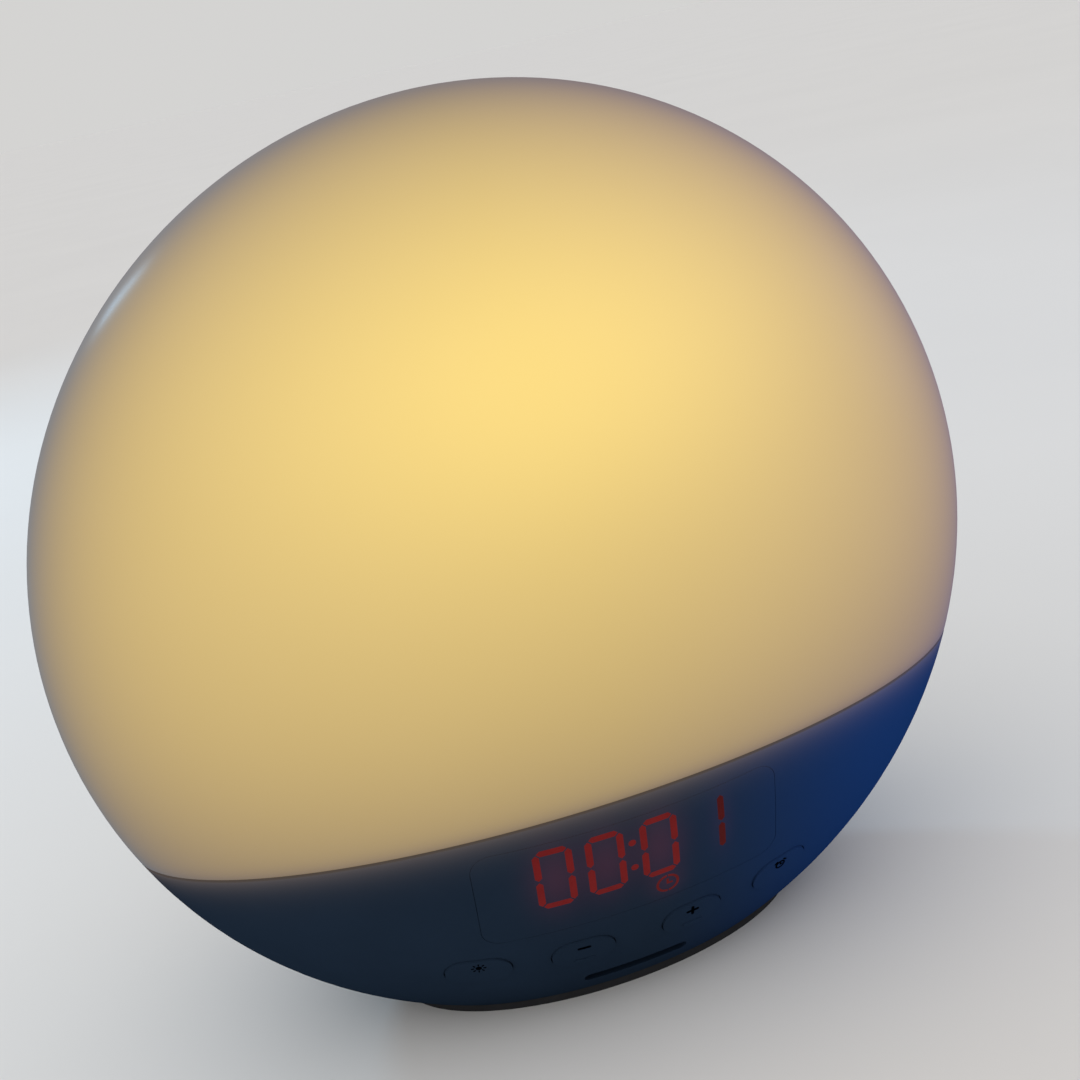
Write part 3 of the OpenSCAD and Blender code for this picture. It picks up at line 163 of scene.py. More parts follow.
def use_modifier(piece, kind, **settings):
    """Adds a modifier with these settings and applies it."""
    take(piece)
    bpy.ops.object.modifier_add(type=kind)
    modifier = piece.modifiers[-1]
    for setting, value in settings.items():
        setattr(modifier, setting, value)
    bpy.ops.object.modifier_apply(modifier=modifier.name)


def turned(name, outline, steps=48):
    """A turned piece: a line of points (distance from the axis, height) spun round Z and closed."""
    let_go()
    bpy.ops.mesh.primitive_plane_add(size=0.001, location=(0, 0, 0))
    piece = named(name)
    open_mesh(piece, "VERT")
    bpy.ops.mesh.select_all(action="SELECT")
    bpy.ops.mesh.merge(type="CENTER")
    bpy.ops.mesh.select_all(action="SELECT")
    here = Vector((0, 0, 0))
    first = Vector((outline[0][0], 0, outline[0][1]))
    bpy.ops.transform.translate(value=first - here)
    here = first
    for across, up in outline[1:]:
        step = Vector((across, 0, up)) - here
        bpy.ops.mesh.extrude_vertices_move(TRANSFORM_OT_translate={"value": step})
        here = here + step
    bpy.ops.mesh.select_all(action="SELECT")
    bpy.ops.mesh.spin(steps=steps, angle=2 * math.pi, center=(0, 0, 0), axis=(0, 0, 1))
    bpy.ops.mesh.select_all(action="SELECT")
    bpy.ops.mesh.remove_doubles(threshold=0.00001)
    bpy.ops.mesh.select_all(action="SELECT")
    bpy.ops.mesh.normals_make_consistent(inside=False)
    let_go()
    return piece


def turned_mm(name, outline, steps):
    """A turned piece whose outline is given in millimetres."""
    return turned(name, [(across * MM, up * MM) for across, up in outline], steps)


def block_at(name, middle, size):
    """A block of this size, with its place and size in its mesh."""
    bpy.ops.mesh.primitive_cube_add(size=1, location=middle)
    piece = named(name)
    piece.scale = size
    bpy.ops.object.transform_apply(location=True, rotation=False, scale=True)
    return piece


def aimed(piece, place, outward, up=Vector((0, 0, 1))):
    """Moves a piece made at the origin to its place, its own Z pointing outward."""
    outward = outward.normalized()
    across = up.cross(outward).normalized()
    rise = outward.cross(across)
    turn = Matrix((across, rise, outward)).transposed().to_4x4()
    piece.matrix_world = Matrix.Translation(place) @ turn
    settle(piece)
    return piece


# ---------------------------------------------------------------- shader parts

class Amount:
    """A value inside a shader. Adding, multiplying and so on lays down Math nodes."""

    def __init__(self, tree, socket):
        self.tree, self.socket = tree, socket

    def step(self, operation, *others, clamp=False):
        node = self.tree.nodes.new("ShaderNodeMath")
        node.operation = operation
        node.use_clamp = clamp
        for slot, value in enumerate((self,) + others):
            if isinstance(value, Amount):
                self.tree.links.new(value.socket, node.inputs[slot])
            else:
                node.inputs[slot].default_value = value
        return Amount(self.tree, node.outputs[0])

    def __add__(self, other): return self.step("ADD", other)
    def __sub__(self, other): return self.step("SUBTRACT", other)
    def __mul__(self, other): return self.step("MULTIPLY", other)
    def __truediv__(self, other): return self.step("DIVIDE", other)
    def __pow__(self, other): return self.step("POWER", other)
    __radd__ = __add__
    __rmul__ = __mul__

    def __rsub__(self, other): return (self * -1.0) + other
    def fade(self): return self.step("MULTIPLY", -1.0).step("EXPONENT")
    def at_least(self, other): return self.step("MAXIMUM", other)
    def at_most(self, other): return self.step("MINIMUM", other)
    def size(self): return self.step("ABSOLUTE")
    def kept(self): return self.step("ADD", 0.0, clamp=True)


def plug_in(tree, value, socket):
    """Feeds a socket from an Amount or from another socket, or gives it a plain value."""
    if isinstance(value, Amount):
        tree.links.new(value.socket, socket)
    elif isinstance(value, bpy.types.NodeSocket):
        tree.links.new(value, socket)
    else:
        socket.default_value = value


def new_group(name, inputs, outputs):
    """A shader node group with named sockets: {name: (kind, value)} in, {name: kind} out."""
    group = bpy.data.node_groups.new(name, "ShaderNodeTree")
    for label, (kind, value) in inputs.items():
        socket = group.interface.new_socket(label, in_out="INPUT", socket_type="NodeSocket" + kind)
        if value is not None:
            socket.default_value = value
    for label, kind in outputs.items():
        group.interface.new_socket(label, in_out="OUTPUT", socket_type="NodeSocket" + kind)
    start = group.nodes.new("NodeGroupInput")
    end = group.nodes.new("NodeGroupOutput")
    return group, start, end


def lay(tree, kind, settings=None, **links):
    """Adds one node, sets its plain values and plugs in what feeds it."""
    node = tree.nodes.new("ShaderNode" + kind)
    for key, value in (settings or {}).items():
        setattr(node, key, value)
    for label, value in links.items():
        plug_in(tree, value, node.inputs[label.replace("_", " ")])
    return node


def in_mm(tree, place):
    """The three coordinates of a place, in millimetres."""
    split = lay(tree, "SeparateXYZ", Vector=place)
    return [Amount(tree, split.outputs[axis]) * 1000.0 for axis in "XYZ"]


def tinted(tree, strength, colour):
    """A colour that gets brighter with the strength."""
    node = lay(tree, "VectorMath", {"operation": "SCALE"})
    node.inputs[0].default_value = colour
    tree.links.new(strength.socket, node.inputs["Scale"])
    return node.outputs[0]


def mix_colours(tree, share, first, second):
    """The first colour where the share is 0, the second where it is 1."""
    node = lay(tree, "Mix", {"data_type": "RGBA"})
    colours = [socket for socket in node.inputs if socket.type == "RGBA"]
    factor = [socket for socket in node.inputs if socket.name == "Factor" and socket.type == "VALUE"][0]
    for socket, value in ((factor, share), (colours[0], first), (colours[1], second)):
        plug_in(tree, value, socket)
    return [socket for socket in node.outputs if socket.type == "RGBA"][0]


def height_over_seam(y, z):
    """How far a place in millimetres lies over the tilted seam."""
    return (z - seam_mm) * math.cos(seam_tilt) + y * math.sin(seam_tilt)


# lamp glow: the lit dome's colour, laid out by place, with painted shade along its edges and over the seam
# and painted reflections on its sides. It doesn't come from the bulb inside.
lamp_glow, start, end = new_group("lamp_glow", {"Place": ("Vector", None)}, {"Light": "Color"})
x, y, z = in_mm(lamp_glow, start.outputs["Place"])
lean_x = x / half_width_mm ** 2
lean_y = y / half_depth_mm ** 2
lean_z = (z - centre_mm) / half_width_mm ** 2
slope = (lean_x * lean_x + lean_y * lean_y + lean_z * lean_z + 1e-12) ** 0.5

# ahead: 1 where the dome faces the glow's brightest way, 0 square to it; to_right: 1 where it faces right
brightest_way = Vector((-0.095, -1.0, 0.136)).normalized()
ahead = (lean_x * brightest_way.x + lean_y * brightest_way.y + lean_z * brightest_way.z) / slope
to_right = lean_x / slope

# painted reflections: a cool blue one on the right edge, and a paler grey-blue sheen round the sides,
# strongest on the left
cool_reflection_most, sheen_green, sheen_blue = 0.095, 0.042, 0.062
painted_cool_reflection = to_right.at_least(0.0) * (ahead * 2.0 + 0.12).kept() * cool_reflection_most
painted_side_sheen = ((1.0 - ahead * ahead) ** 3.0) * (0.3 - to_right).kept() * (ahead * 2.5 + 0.4).kept()

# the dome darkens away from the brightest way, partly the glow's own falloff and partly painted shade along
# its edges, but never under the least light, which is more behind
falloff, rounding = 5.144, 4.0
least_front, least_more_behind = 0.23, 0.18
behind_from, behind_from_right, behind_width = 0.16, 0.30, 0.35
behind = ((to_right.at_least(0.0) * behind_from_right + behind_from - ahead) / behind_width).kept()
least = behind * behind * (3.0 - behind * 2.0) * least_more_behind + least_front
ahead = ((ahead.size() ** falloff) + (least ** rounding)) ** (1 / rounding)

# the hot spot in front of the bulb: its middle and its reach, in millimetres, and its part of the light
spot_right, spot_up = 9.1, 169.8
spot_half_wide, spot_half_high = 72.6, 38.6
spot_part, even_part = 0.243, 0.757
left_right = (x - spot_right) / spot_half_wide
up_down = (z - spot_up) / spot_half_high
hot_spot = (left_right * left_right + up_down * up_down).fade()

# the shade over the seam: a wide one and a narrow one, each with its reach in millimetres and its depth
wide_reach, wide_shade, narrow_reach, narrow_shade = 35.0, 0.4485, 2.0, 0.55
above_seam = height_over_seam(y, z)
rim_shade = 1.0 - (above_seam.at_least(0.0) / wide_reach).fade() * wide_shade
rim_edge = 1.0 - (above_seam.at_least(0.0) / narrow_reach).fade() * narrow_shade

# the light's colour: each part has its own level and its own curve over the share
share = ahead * (hot_spot * spot_part + even_part) * rim_shade * rim_edge
red_level, green_level, blue_level = 0.970, 0.685, 0.1045
red_curve, green_curve, blue_curve = 1.203, 1.291, 1.28
# green and blue also carry the painted reflections
warm = lay(lamp_glow, "CombineColor",
           Red=(share ** red_curve) * red_level,
           Green=(share ** green_curve) * green_level + painted_side_sheen * sheen_green,
           Blue=(share ** blue_curve) * blue_level + painted_cool_reflection + painted_side_sheen * sheen_blue)
lamp_glow.links.new(warm.outputs["Color"], end.inputs["Light"])

# seam spill: the warm light that the dome throws on the housing just below the seam
seam_spill, start, end = new_group(
    "seam_spill", {"Place": ("Vector", None), "Reach": ("Float", 3.0)}, {"Light": "Color"})
x, y, z = in_mm(seam_spill, start.outputs["Place"])
below_seam = height_over_seam(y, z) * -1.0
spill = (below_seam.at_least(0.0) / Amount(seam_spill, start.outputs["Reach"])).fade()
seam_spill.links.new(tinted(seam_spill, spill, (0.072, 0.054, 0.042)), end.inputs["Light"])

# digit haze: the red light of the digits, spread softly inside the smoked plastic
digit_haze, start, end = new_group("digit_haze", {"Place": ("Vector", None)}, {"Light": "Color"})
x, y, z = in_mm(digit_haze, start.outputs["Place"])
up_face = (y + display_forward_mm) * math.cos(display_turn) + (z - display_up_mm) * math.sin(display_turn)
haze_spots = (  # in millimetres: middle, half width, half height; then the level; then height on the face
    (-19.1, 6.0, 10.5, 1.0, 0.0), (-6.7, 6.0, 10.5, 1.0, 0.0), (6.7, 6.0, 10.5, 1.0, 0.0),
    (22.95, 3.0, 9.5, 0.30, 0.0), (7.9, 4.4, 4.4, 0.45, -13.6))
haze = None
for middle, half_wide, half_high, level, height in haze_spots:
    across = (x - middle) / half_wide
    rise = (up_face - height) / half_high
    spot = (across * across + rise * rise).fade() * level
    haze = spot if haze is None else haze + spot
front_only = (y * -1.0 - 30.0).kept()
haze = haze * front_only
digit_haze.links.new(tinted(digit_haze, haze, (0.030, 0.0040, 0.0065)), end.inputs["Light"])

# fine grain: the small texture of a moulded, cast or rolled surface
fine_grain, start, end = new_group(
    "fine_grain", {"Place": ("Vector", None), "Grains per metre": ("Float", 2500.0),
                   "Stretch": ("Vector", (1, 1, 1))},
    {"Height": "Float", "Tone": "Float"})
stretched = lay(fine_grain, "VectorMath", {"operation": "MULTIPLY"})
fine_grain.links.new(start.outputs["Place"], stretched.inputs[0])
fine_grain.links.new(start.outputs["Stretch"], stretched.inputs[1])
small = lay(fine_grain, "TexNoise", Vector=stretched.outputs[0], Scale=start.outputs["Grains per metre"],
            Detail=3.0, Roughness=0.6)
coarse_scale = Amount(fine_grain, start.outputs["Grains per metre"]) * 0.11
coarse = lay(fine_grain, "TexNoise", Vector=stretched.outputs[0], Scale=coarse_scale, Detail=2.0)
height = Amount(fine_grain, small.outputs["Fac"]) * 0.8 + Amount(fine_grain, coarse.outputs["Fac"]) * 0.2
fine_grain.links.new(height.socket, end.inputs["Height"])
fine_grain.links.new(coarse.outputs["Fac"], end.inputs["Tone"])

# colour drift: slow changes of a colour over a piece
colour_drift, start, end = new_group(
    "colour_drift", {"Place": ("Vector", None), "Colour": ("Color", (0.5, 0.5, 0.5, 1)),
                     "Darker": ("Color", (0.4, 0.4, 0.4, 1)), "Patches per metre": ("Float", 30.0)},
    {"Colour": "Color"})
patch = lay(colour_drift, "TexNoise", Vector=start.outputs["Place"], Scale=start.outputs["Patches per metre"],
            Detail=4.0, Roughness=0.55)
spread = lay(colour_drift, "MapRange", Value=patch.outputs["Fac"])
spread.inputs["From Min"].default_value = 0.3
spread.inputs["From Max"].default_value = 0.7
mixed = mix_colours(colour_drift, spread.outputs["Result"], start.outputs["Darker"], start.outputs["Colour"])
colour_drift.links.new(mixed, end.inputs["Colour"])

# settled dust: a thin pale film on what faces up
settled_dust, start, end = new_group(
    "settled_dust", {"Place": ("Vector", None), "Film": ("Float", 0.1)}, {"Share": "Float"})
way = lay(settled_dust, "NewGeometry")
upward = Amount(settled_dust, lay(settled_dust, "SeparateXYZ", Vector=way.outputs["Normal"]).outputs["Z"])
specks = lay(settled_dust, "TexNoise", Vector=start.outputs["Place"], Scale=900.0, Detail=5.0, Roughness=0.7)
film = ((upward - 0.35) * 1.6).kept() * (Amount(settled_dust, specks.outputs["Fac"]) * 1.4 - 0.2).kept()
film = film * Amount(settled_dust, start.outputs["Film"])
settled_dust.links.new(film.socket, end.inputs["Share"])


def use_group(tree, group, **values):
    node = tree.nodes.new("ShaderNodeGroup")
    node.node_tree = group
    for label, value in values.items():
        plug_in(tree, value, node.inputs[label.replace("_", " ")])
    return node


def srgb(red, green, blue):
    """A colour from a swatch card, 0 to 255, as the shader takes it."""
    def straight(part):
        part = part / 255
        return part / 12.92 if part <= 0.04045 else ((part + 0.055) / 1.055) ** 2.4
    return (straight(red), straight(green), straight(blue), 1.0)


def finish(name, colour, roughness, darker=0.85, patches=30.0, grains=2500.0, depth=0.02, stretch=(1, 1, 1),
           spread=0.06, metallic=0.0, coat=0.0, gloss=0.5, dust=0.0, clear=0.0):
    """A material with colour that drifts, roughness that varies and a fine grain in relief."""
    material = bpy.data.materials.new(name)
    material.use_nodes = True
    tree = material.node_tree
    shader = tree.nodes["Principled BSDF"]
    place = lay(tree, "TexCoord").outputs["Object"]
    shade = tuple(part * darker for part in colour[:3]) + (1.0,)
    drift = use_group(tree, colour_drift, Place=place, Colour=colour, Darker=shade, Patches_per_metre=patches)
    grain = use_group(tree, fine_grain, Place=place, Grains_per_metre=grains, Stretch=stretch)
    base = drift.outputs["Colour"]
    rough = Amount(tree, grain.outputs["Tone"]) * (2 * spread) + (roughness - spread)
    if dust:
        film = use_group(tree, settled_dust, Place=place, Film=dust)
        base = mix_colours(tree, film.outputs["Share"], base, srgb(170, 164, 154))
        rough = rough + Amount(tree, film.outputs["Share"]) * 0.5
    tree.links.new(base, shader.inputs["Base Color"])
    tree.links.new(rough.kept().socket, shader.inputs["Roughness"])
    relief = lay(tree, "Bump", Height=grain.outputs["Height"], Strength=0.35, Distance=depth * MM)
    tree.links.new(relief.outputs["Normal"], shader.inputs["Normal"])
    shader.inputs["Metallic"].default_value = metallic
    shader.inputs["Coat Weight"].default_value = coat
    shader.inputs["Specular IOR Level"].default_value = gloss
    if clear:
        shader.inputs["Transmission Weight"].default_value = clear
    return material, tree, shader, place


def glowing(tree, shader, light):
    tree.links.new(light, shader.inputs["Emission Color"])
    shader.inputs["Emission Strength"].default_value = 1.0


def add_lights(tree, first, second):
    node = lay(tree, "VectorMath", {"operation": "ADD"})
    tree.links.new(first, node.inputs[0])
    tree.links.new(second, node.inputs[1])
    return node.outputs[0]


# ---------------------------------------------------------------- the finishes that show

# the dome's base colour is a dark blue-grey rather than the opal's white, so the glow carries the colour; its
# blue is painted cool light
opal_dome, tree, shader, place = finish(
    "opal_dome", (0.100, 0.108, 0.158, 1), 0.34, darker=0.95, patches=14, grains=1400, depth=0.012,
    spread=0.04, gloss=0.0, coat=0.14)
shader.inputs["Coat Roughness"].default_value = 0.27
shader.inputs["Coat IOR"].default_value = 1.45
glow = use_group(tree, lamp_glow, Place=place)
cloud = lay(tree, "TexNoise", Vector=place, Scale=9.0, Detail=2.0)
uneven = Amount(tree, cloud.outputs["Fac"]) * 0.05 + 0.975
light = lay(tree, "VectorMath", {"operation": "SCALE"})
tree.links.new(glow.outputs["Light"], light.inputs[0])
tree.links.new(uneven.socket, light.inputs["Scale"])
glowing(tree, shader, light.outputs[0])


def dark_plastic(name, roughness, grains, depth):
    """The housing's dark slate plastic; its blue towards the clock's right-hand side is painted blue light
    falling from that side.
    """
    left, painted_blue_light = (0.0150, 0.0270, 0.0480, 1), (0.0100, 0.0410, 0.1650, 1)
    material, tree, shader, place = finish(
        name, left, roughness, darker=0.86, patches=22, grains=grains, depth=depth, spread=0.05, gloss=0.0)
    x, y, z = in_mm(tree, place)
    # painted blue light: the colour turns blue towards the clock's right-hand side
    side = ((x - 2.0) / 78.0).kept()
    side = side * side * (3.0 - side * 2.0)
    drift = shader.inputs["Base Color"].links[0].from_socket
    tree.links.new(mix_colours(tree, side, drift, painted_blue_light), shader.inputs["Base Color"])
    spill = use_group(tree, seam_spill, Place=place, Reach=3.0)
    haze = use_group(tree, digit_haze, Place=place)
    glowing(tree, shader, add_lights(tree, spill.outputs["Light"], haze.outputs["Light"]))
    return material


housing_plastic = dark_plastic("housing_plastic", 0.42, 2600, 0.010)
button_plastic = dark_plastic("button_plastic", 0.38, 2600, 0.008)
lens_smoke = dark_plastic("lens_smoke", 0.36, 1800, 0.005)
bars_dark = dark_plastic("bars_dark", 0.36, 1800, 0.005)

bars_red, tree, shader, place = finish(
    "bars_red", srgb(70, 10, 12), 0.36, darker=0.9, patches=160, grains=900, depth=0.003, gloss=0.06)
uneven = lay(tree, "TexNoise", Vector=place, Scale=260.0, Detail=2.0)
level = Amount(tree, uneven.outputs["Fac"]) * 0.5 + 0.75
x, y, z = in_mm(tree, place)
# the last digit, right of 14 mm, and the alarm symbol, under 42 mm, are lit less
fainter = (((x - 14.0) / 2.0).kept() * 0.8).at_least((42.0 - z).kept() * 0.4)
glowing(tree, shader, tinted(tree, level * (1.0 - fainter), (0.096, 0.006, 0.006)))


def plain_finish(name, colour, roughness, **settings):
    """A finish that needs nothing more than its settings."""
    return finish(name, colour, roughness, **settings)[0]


mark_dark = plain_finish("mark_dark", (0.0004, 0.0009, 0.0022, 1), 0.7, grains=4000, depth=0.004, gloss=0.0)
cord_grey = plain_finish("cord_grey", srgb(196, 206, 212), 0.46, darker=0.92, patches=60, grains=3200,
                         depth=0.02, dust=0.05)
aerial_grey = plain_finish("aerial_grey", srgb(202, 210, 214), 0.42, darker=0.92, patches=60, grains=3600,
                           depth=0.01, dust=0.05)
boot_grey = plain_finish("boot_grey", srgb(150, 158, 166), 0.55, darker=0.88, patches=70, grains=3000,
                         depth=0.03, dust=0.12)
plug_grey = plain_finish("plug_grey", srgb(196, 206, 212), 0.5, darker=0.93, patches=45, grains=2600,
                         depth=0.04, dust=0.12)
tie_black = plain_finish("tie_black", srgb(26, 26, 28), 0.85, darker=0.7, patches=200, grains=5200,
                         depth=0.12, gloss=0.2, dust=0.15)
pin_brass = plain_finish("pin_brass", srgb(204, 180, 120), 0.28, darker=0.9, patches=90, grains=2600,
                         depth=0.006, stretch=(1, 0.1, 1), metallic=1.0)
sleeve_black = plain_finish("sleeve_black", srgb(22, 22, 24), 0.45, grains=3000, depth=0.01)

# ---------------------------------------------------------------- the finishes of the CAD pieces, by slot

plastics = {  # colour, roughness, grains per metre, depth of the grain in millimetres
    "plate_plastic": (srgb(30, 36, 48), 0.6, 2600, 0.05),
    "white_plastic": (srgb(236, 234, 226), 0.5, 2200, 0.02),
    "insulator_black": (srgb(24, 24, 26), 0.4, 2500, 0.01),
    "cutout_black": (srgb(44, 44, 48), 0.5, 2500, 0.02),
    "led_yellow": (srgb(222, 206, 150), 0.3, 1800, 0.01),
    "switch_black": (srgb(30, 30, 32), 0.5, 2600, 0.02),
    "capacitor_sleeve": (srgb(30, 40, 80), 0.32, 1600, 0.01),
    "chip_black": (srgb(26, 26, 28), 0.6, 4200, 0.03),
    "wire_white": (srgb(232, 230, 224), 0.42, 3000, 0.01),
    "wire_brown": (srgb(120, 72, 44), 0.42, 3000, 0.01),
    "wire_red": (srgb(176, 36, 34), 0.42, 3000, 0.01),
    "ribbon_grey": (srgb(186, 188, 190), 0.45, 1200, 0.04)}
metals = {  # colour, roughness, stretch of the grain, its depth in millimetres
    "shield_aluminium": (srgb(205, 207, 210), 0.32, (1, 0.05, 1), 0.02),
    "bracket_steel": (srgb(176, 178, 182), 0.38, (1, 1, 1), 0.03),
    "contact_brass": (srgb(196, 160, 84), 0.3, (1, 1, 0.1), 0.01),
    "cap_metal": (srgb(190, 190, 192), 0.3, (0.1, 1, 1), 0.01),
    "wire_steel": (srgb(150, 152, 156), 0.3, (1, 1, 0.1), 0.01),
    "core_steel": (srgb(120, 122, 126), 0.45, (0.05, 1, 1), 0.12),
    "winding_copper": (srgb(176, 96, 52), 0.34, (1, 1, 0.05), 0.16),
    "heatsink_aluminium": (srgb(196, 198, 202), 0.36, (0.05, 1, 1), 0.03),
    "screw_steel": (srgb(182, 184, 188), 0.3, (1, 1, 1), 0.02)}
others = {  # colour, roughness, then the settings that aren't the usual ones
    "foot_rubber": (srgb(30, 30, 32), 0.8,
                    {"darker": 0.75, "patches": 120, "grains": 3500, "depth": 0.06, "gloss": 0.3,
                     "dust": 0.1}),
    "holder_ceramic": (srgb(232, 226, 208), 0.2,
                       {"darker": 0.93, "patches": 60, "grains": 700, "depth": 0.03, "coat": 0.4}),
    "bulb_glass": (srgb(250, 240, 214), 0.45,
                   {"darker": 0.96, "patches": 40, "grains": 2500, "depth": 0.01, "clear": 0.5}),
    "capsule_glass": (srgb(244, 246, 248), 0.08,
                      {"darker": 0.97, "patches": 60, "grains": 900, "depth": 0.005, "clear": 0.9}),
    "board_green": (srgb(28, 88, 58), 0.35,
                    {"darker": 0.8, "patches": 140, "grains": 1500, "depth": 0.03, "coat": 0.2}),
    "basket_steel": (srgb(90, 92, 96), 0.5,
                     {"darker": 0.85, "patches": 90, "grains": 2400, "depth": 0.04, "metallic": 0.4}),
    "cone_paper": (srgb(34, 34, 36), 0.9,
                   {"darker": 0.7, "patches": 260, "grains": 3600, "depth": 0.12, "gloss": 0.2}),
    "magnet_ferrite": (srgb(60, 60, 62), 0.7,
                       {"darker": 0.75, "patches": 300, "grains": 4200, "depth": 0.08})}
slot_finish = {made.name: made for made in (
    opal_dome, housing_plastic, button_plastic, lens_smoke, bars_dark, bars_red, cord_grey, boot_grey,
    plug_grey, tie_black, pin_brass)}
for label, (colour, roughness, settings) in others.items():
    slot_finish[label] = plain_finish(label, colour, roughness, **settings)
for label, (colour, roughness, grains, depth) in plastics.items():
    slot_finish[label] = plain_finish(label, colour, roughness, grains=grains, depth=depth, patches=70)
for label, (colour, roughness, stretch, depth) in metals.items():
    slot_finish[label] = plain_finish(label, colour, roughness, grains=3200, depth=depth, stretch=stretch,
                                      metallic=1.0, patches=90, darker=0.88)

slot_of = {part["node"]: part["material_slot"] for part in frame["record"]["subparts"]}
for name, node in nodes.items():
    node.data.materials.clear()
    node.data.materials.append(slot_finish[slot_of[name]])


def dress(piece, material, body="clock", replaces=()):
    """Gives a new piece its finish and its place in the clock."""
    piece.data.materials.clear()
    piece.data.materials.append(material)
    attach(piece, body)
    if replaces:
        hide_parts(*replaces)
    return piece


# ---------------------------------------------------------------- cords

def eased(share):
    share = min(max(share, 0.0), 1.0)
    return share * share * (3 - 2 * share)


def wound(centre, first_angle, way, plan, turns, per_turn):
    """Turns of a coil. The plan gives each turn's radius and height, and the share of the turn at which
    its radius starts to shift to the next one's."""
    shift_takes, climb_from, climb_takes = 0.14, 0.57, 0.20
    route = []
    for count in range(1, int(turns * per_turn) + 1):
        turn, share = divmod(count / per_turn, 1.0)
        radius, height, shift = plan[int(turn)]
        next_radius, next_height, _ = plan[int(turn) + 1]
        radius += (next_radius - radius) * eased((share - shift) / shift_takes)
        height += (next_height - height) * eased((share - climb_from) / climb_takes)
        angle = first_angle + way * 2 * math.pi * count / per_turn
        route.append(Vector((centre[0] + radius * math.cos(angle),
                             centre[1] + radius * math.sin(angle), height)) * MM)
    return route


def smooth_line(name, points, thick):
    """A cord as one smooth curve through its points."""
    curve = bpy.data.curves.new(name, "CURVE")
    curve.dimensions = "3D"
    curve.bevel_depth = thick / 2
    curve.bevel_resolution = 4
    curve.resolution_u = 6
    curve.use_fill_caps = True
    spline = curve.splines.new("BEZIER")
    spline.bezier_points.add(len(points) - 1)
    for knot, point in zip(spline.bezier_points, points):
        knot.co = point
        knot.handle_left_type = knot.handle_right_type = "AUTO"
    cord = bpy.data.objects.new(name, curve)
    bpy.context.scene.collection.objects.link(cord)
    return cord


def in_metres(points):
    return [Vector(point) * MM for point in points]


mains_route = [mains_outlet + mains_outward * reach * MM for reach in (-14, -4, 8, 19, 30, 42)]
mains_route += in_metres([(-47, 94, 9), (-49.5, 103, 5), (-50.6, 112, 3.2), (-50.8, 122, 3.1)])
mains_plan = [(36.8, 3.1, 0.79), (31.6, 3.1, 0.79), (26.4, 3.1, 0.79), (21.2, 3.1, 0.79),
              (21.2, 8.3, 0.28), (26.4, 8.3, 0.28), (31.6, 8.3, 0.28), (36.8, 8.3, 0.28), (36.8, 8.3, 0.28)]
mains_route += wound((-14, 122), math.pi, -1, mains_plan, 7.25, 16)
mains_route += in_metres([(-2, 158.8, 7.9), (10, 158.5, 6.6), (22, 156, 5.2), (33, 150, 5.4), (41, 141, 6.4),
                          (44, 133, 6.8), (44, 127, 6.8)])
mains_cord = smooth_line("mains_cord", mains_route, mains_thick)

aerial_route = [aerial_outlet + aerial_outward * reach * MM for reach in (-14, -7, 0, 8, 14)]
aerial_route += in_metres([(41.5, 64.5, 18), (45, 66.5, 9), (50, 67, 2.6), (56, 66.7, 1.2), (62, 66.5, 1.2),
                           (68, 66.5, 1.3), (74, 66.5, 1.4)])
aerial_plan = [(13.5, 1.4, 0.79), (11.7, 1.4, 0.79), (9.9, 1.4, 0.79), (8.1, 1.4, 0.79),
               (8.1, 3.2, 0.33), (9.9, 3.2, 0.33), (11.7, 3.2, 0.33),
               (13.5, 5.0, 0.33), (11.7, 5.0, 0.33), (9.9, 5.0, 0.33), (9.9, 5.0, 0.33)]
aerial_route += wound((74, 80), -math.pi / 2, 1, aerial_plan, 9.3, 16)
aerial_wire = smooth_line("aerial_wire", aerial_route, aerial_thick)
dress(mains_cord, cord_grey,
      replaces=("mains_cord_lead", "mains_cord_coil", "mains_cord_tail"))
dress(aerial_wire, aerial_grey, replaces=("aerial_lead", "aerial_coil"))

# strain reliefs, turned, with grooves that let them bend
boot_outline = [(2.65, -6.0), (4.25, -6.0), (4.25, 0.2), (6.0, 0.2), (6.4, 0.6), (6.4, 1.6), (6.0, 2.1),
                (4.9, 2.1)]
for ring in range(6):
    foot = 5.0 + ring * 3.6
    wide = 4.9 - (foot - 2) / 28 * 1.6
    boot_outline += [(wide, foot), (wide - 0.25, foot + 0.25), (wide - 0.95, foot + 0.45),
                     (wide - 0.95, foot + 1.25), (wide - 0.3, foot + 1.45)]
boot_outline += [(3.5, 28.0), (3.3, 29.4), (2.9, 30.0), (2.65, 29.8)]
mains_boot = aimed(turned_mm("cord_boot", boot_outline, 40), mains_outlet, mains_outward)
dress(mains_boot, boot_grey, replaces=("mains_boot",))
grommet_outline = [(0.95, -4.2), (1.95, -4.2), (1.95, 0.2), (3.1, 0.2), (3.4, 0.5), (3.4, 1.0), (3.1, 1.35),
                   (2.4, 1.4), (2.2, 3.0), (1.75, 3.2), (1.75, 3.7), (2.1, 3.9), (1.95, 5.4), (1.5, 5.6),
                   (1.5, 6.1), (1.8, 6.3), (1.55, 7.6), (1.2, 8.0), (0.95, 7.9)]
aerial_grommet = aimed(turned_mm("wire_grommet", grommet_outline, 28), aerial_outlet, aerial_outward)
dress(aerial_grommet, boot_grey, replaces=("aerial_grommet",))


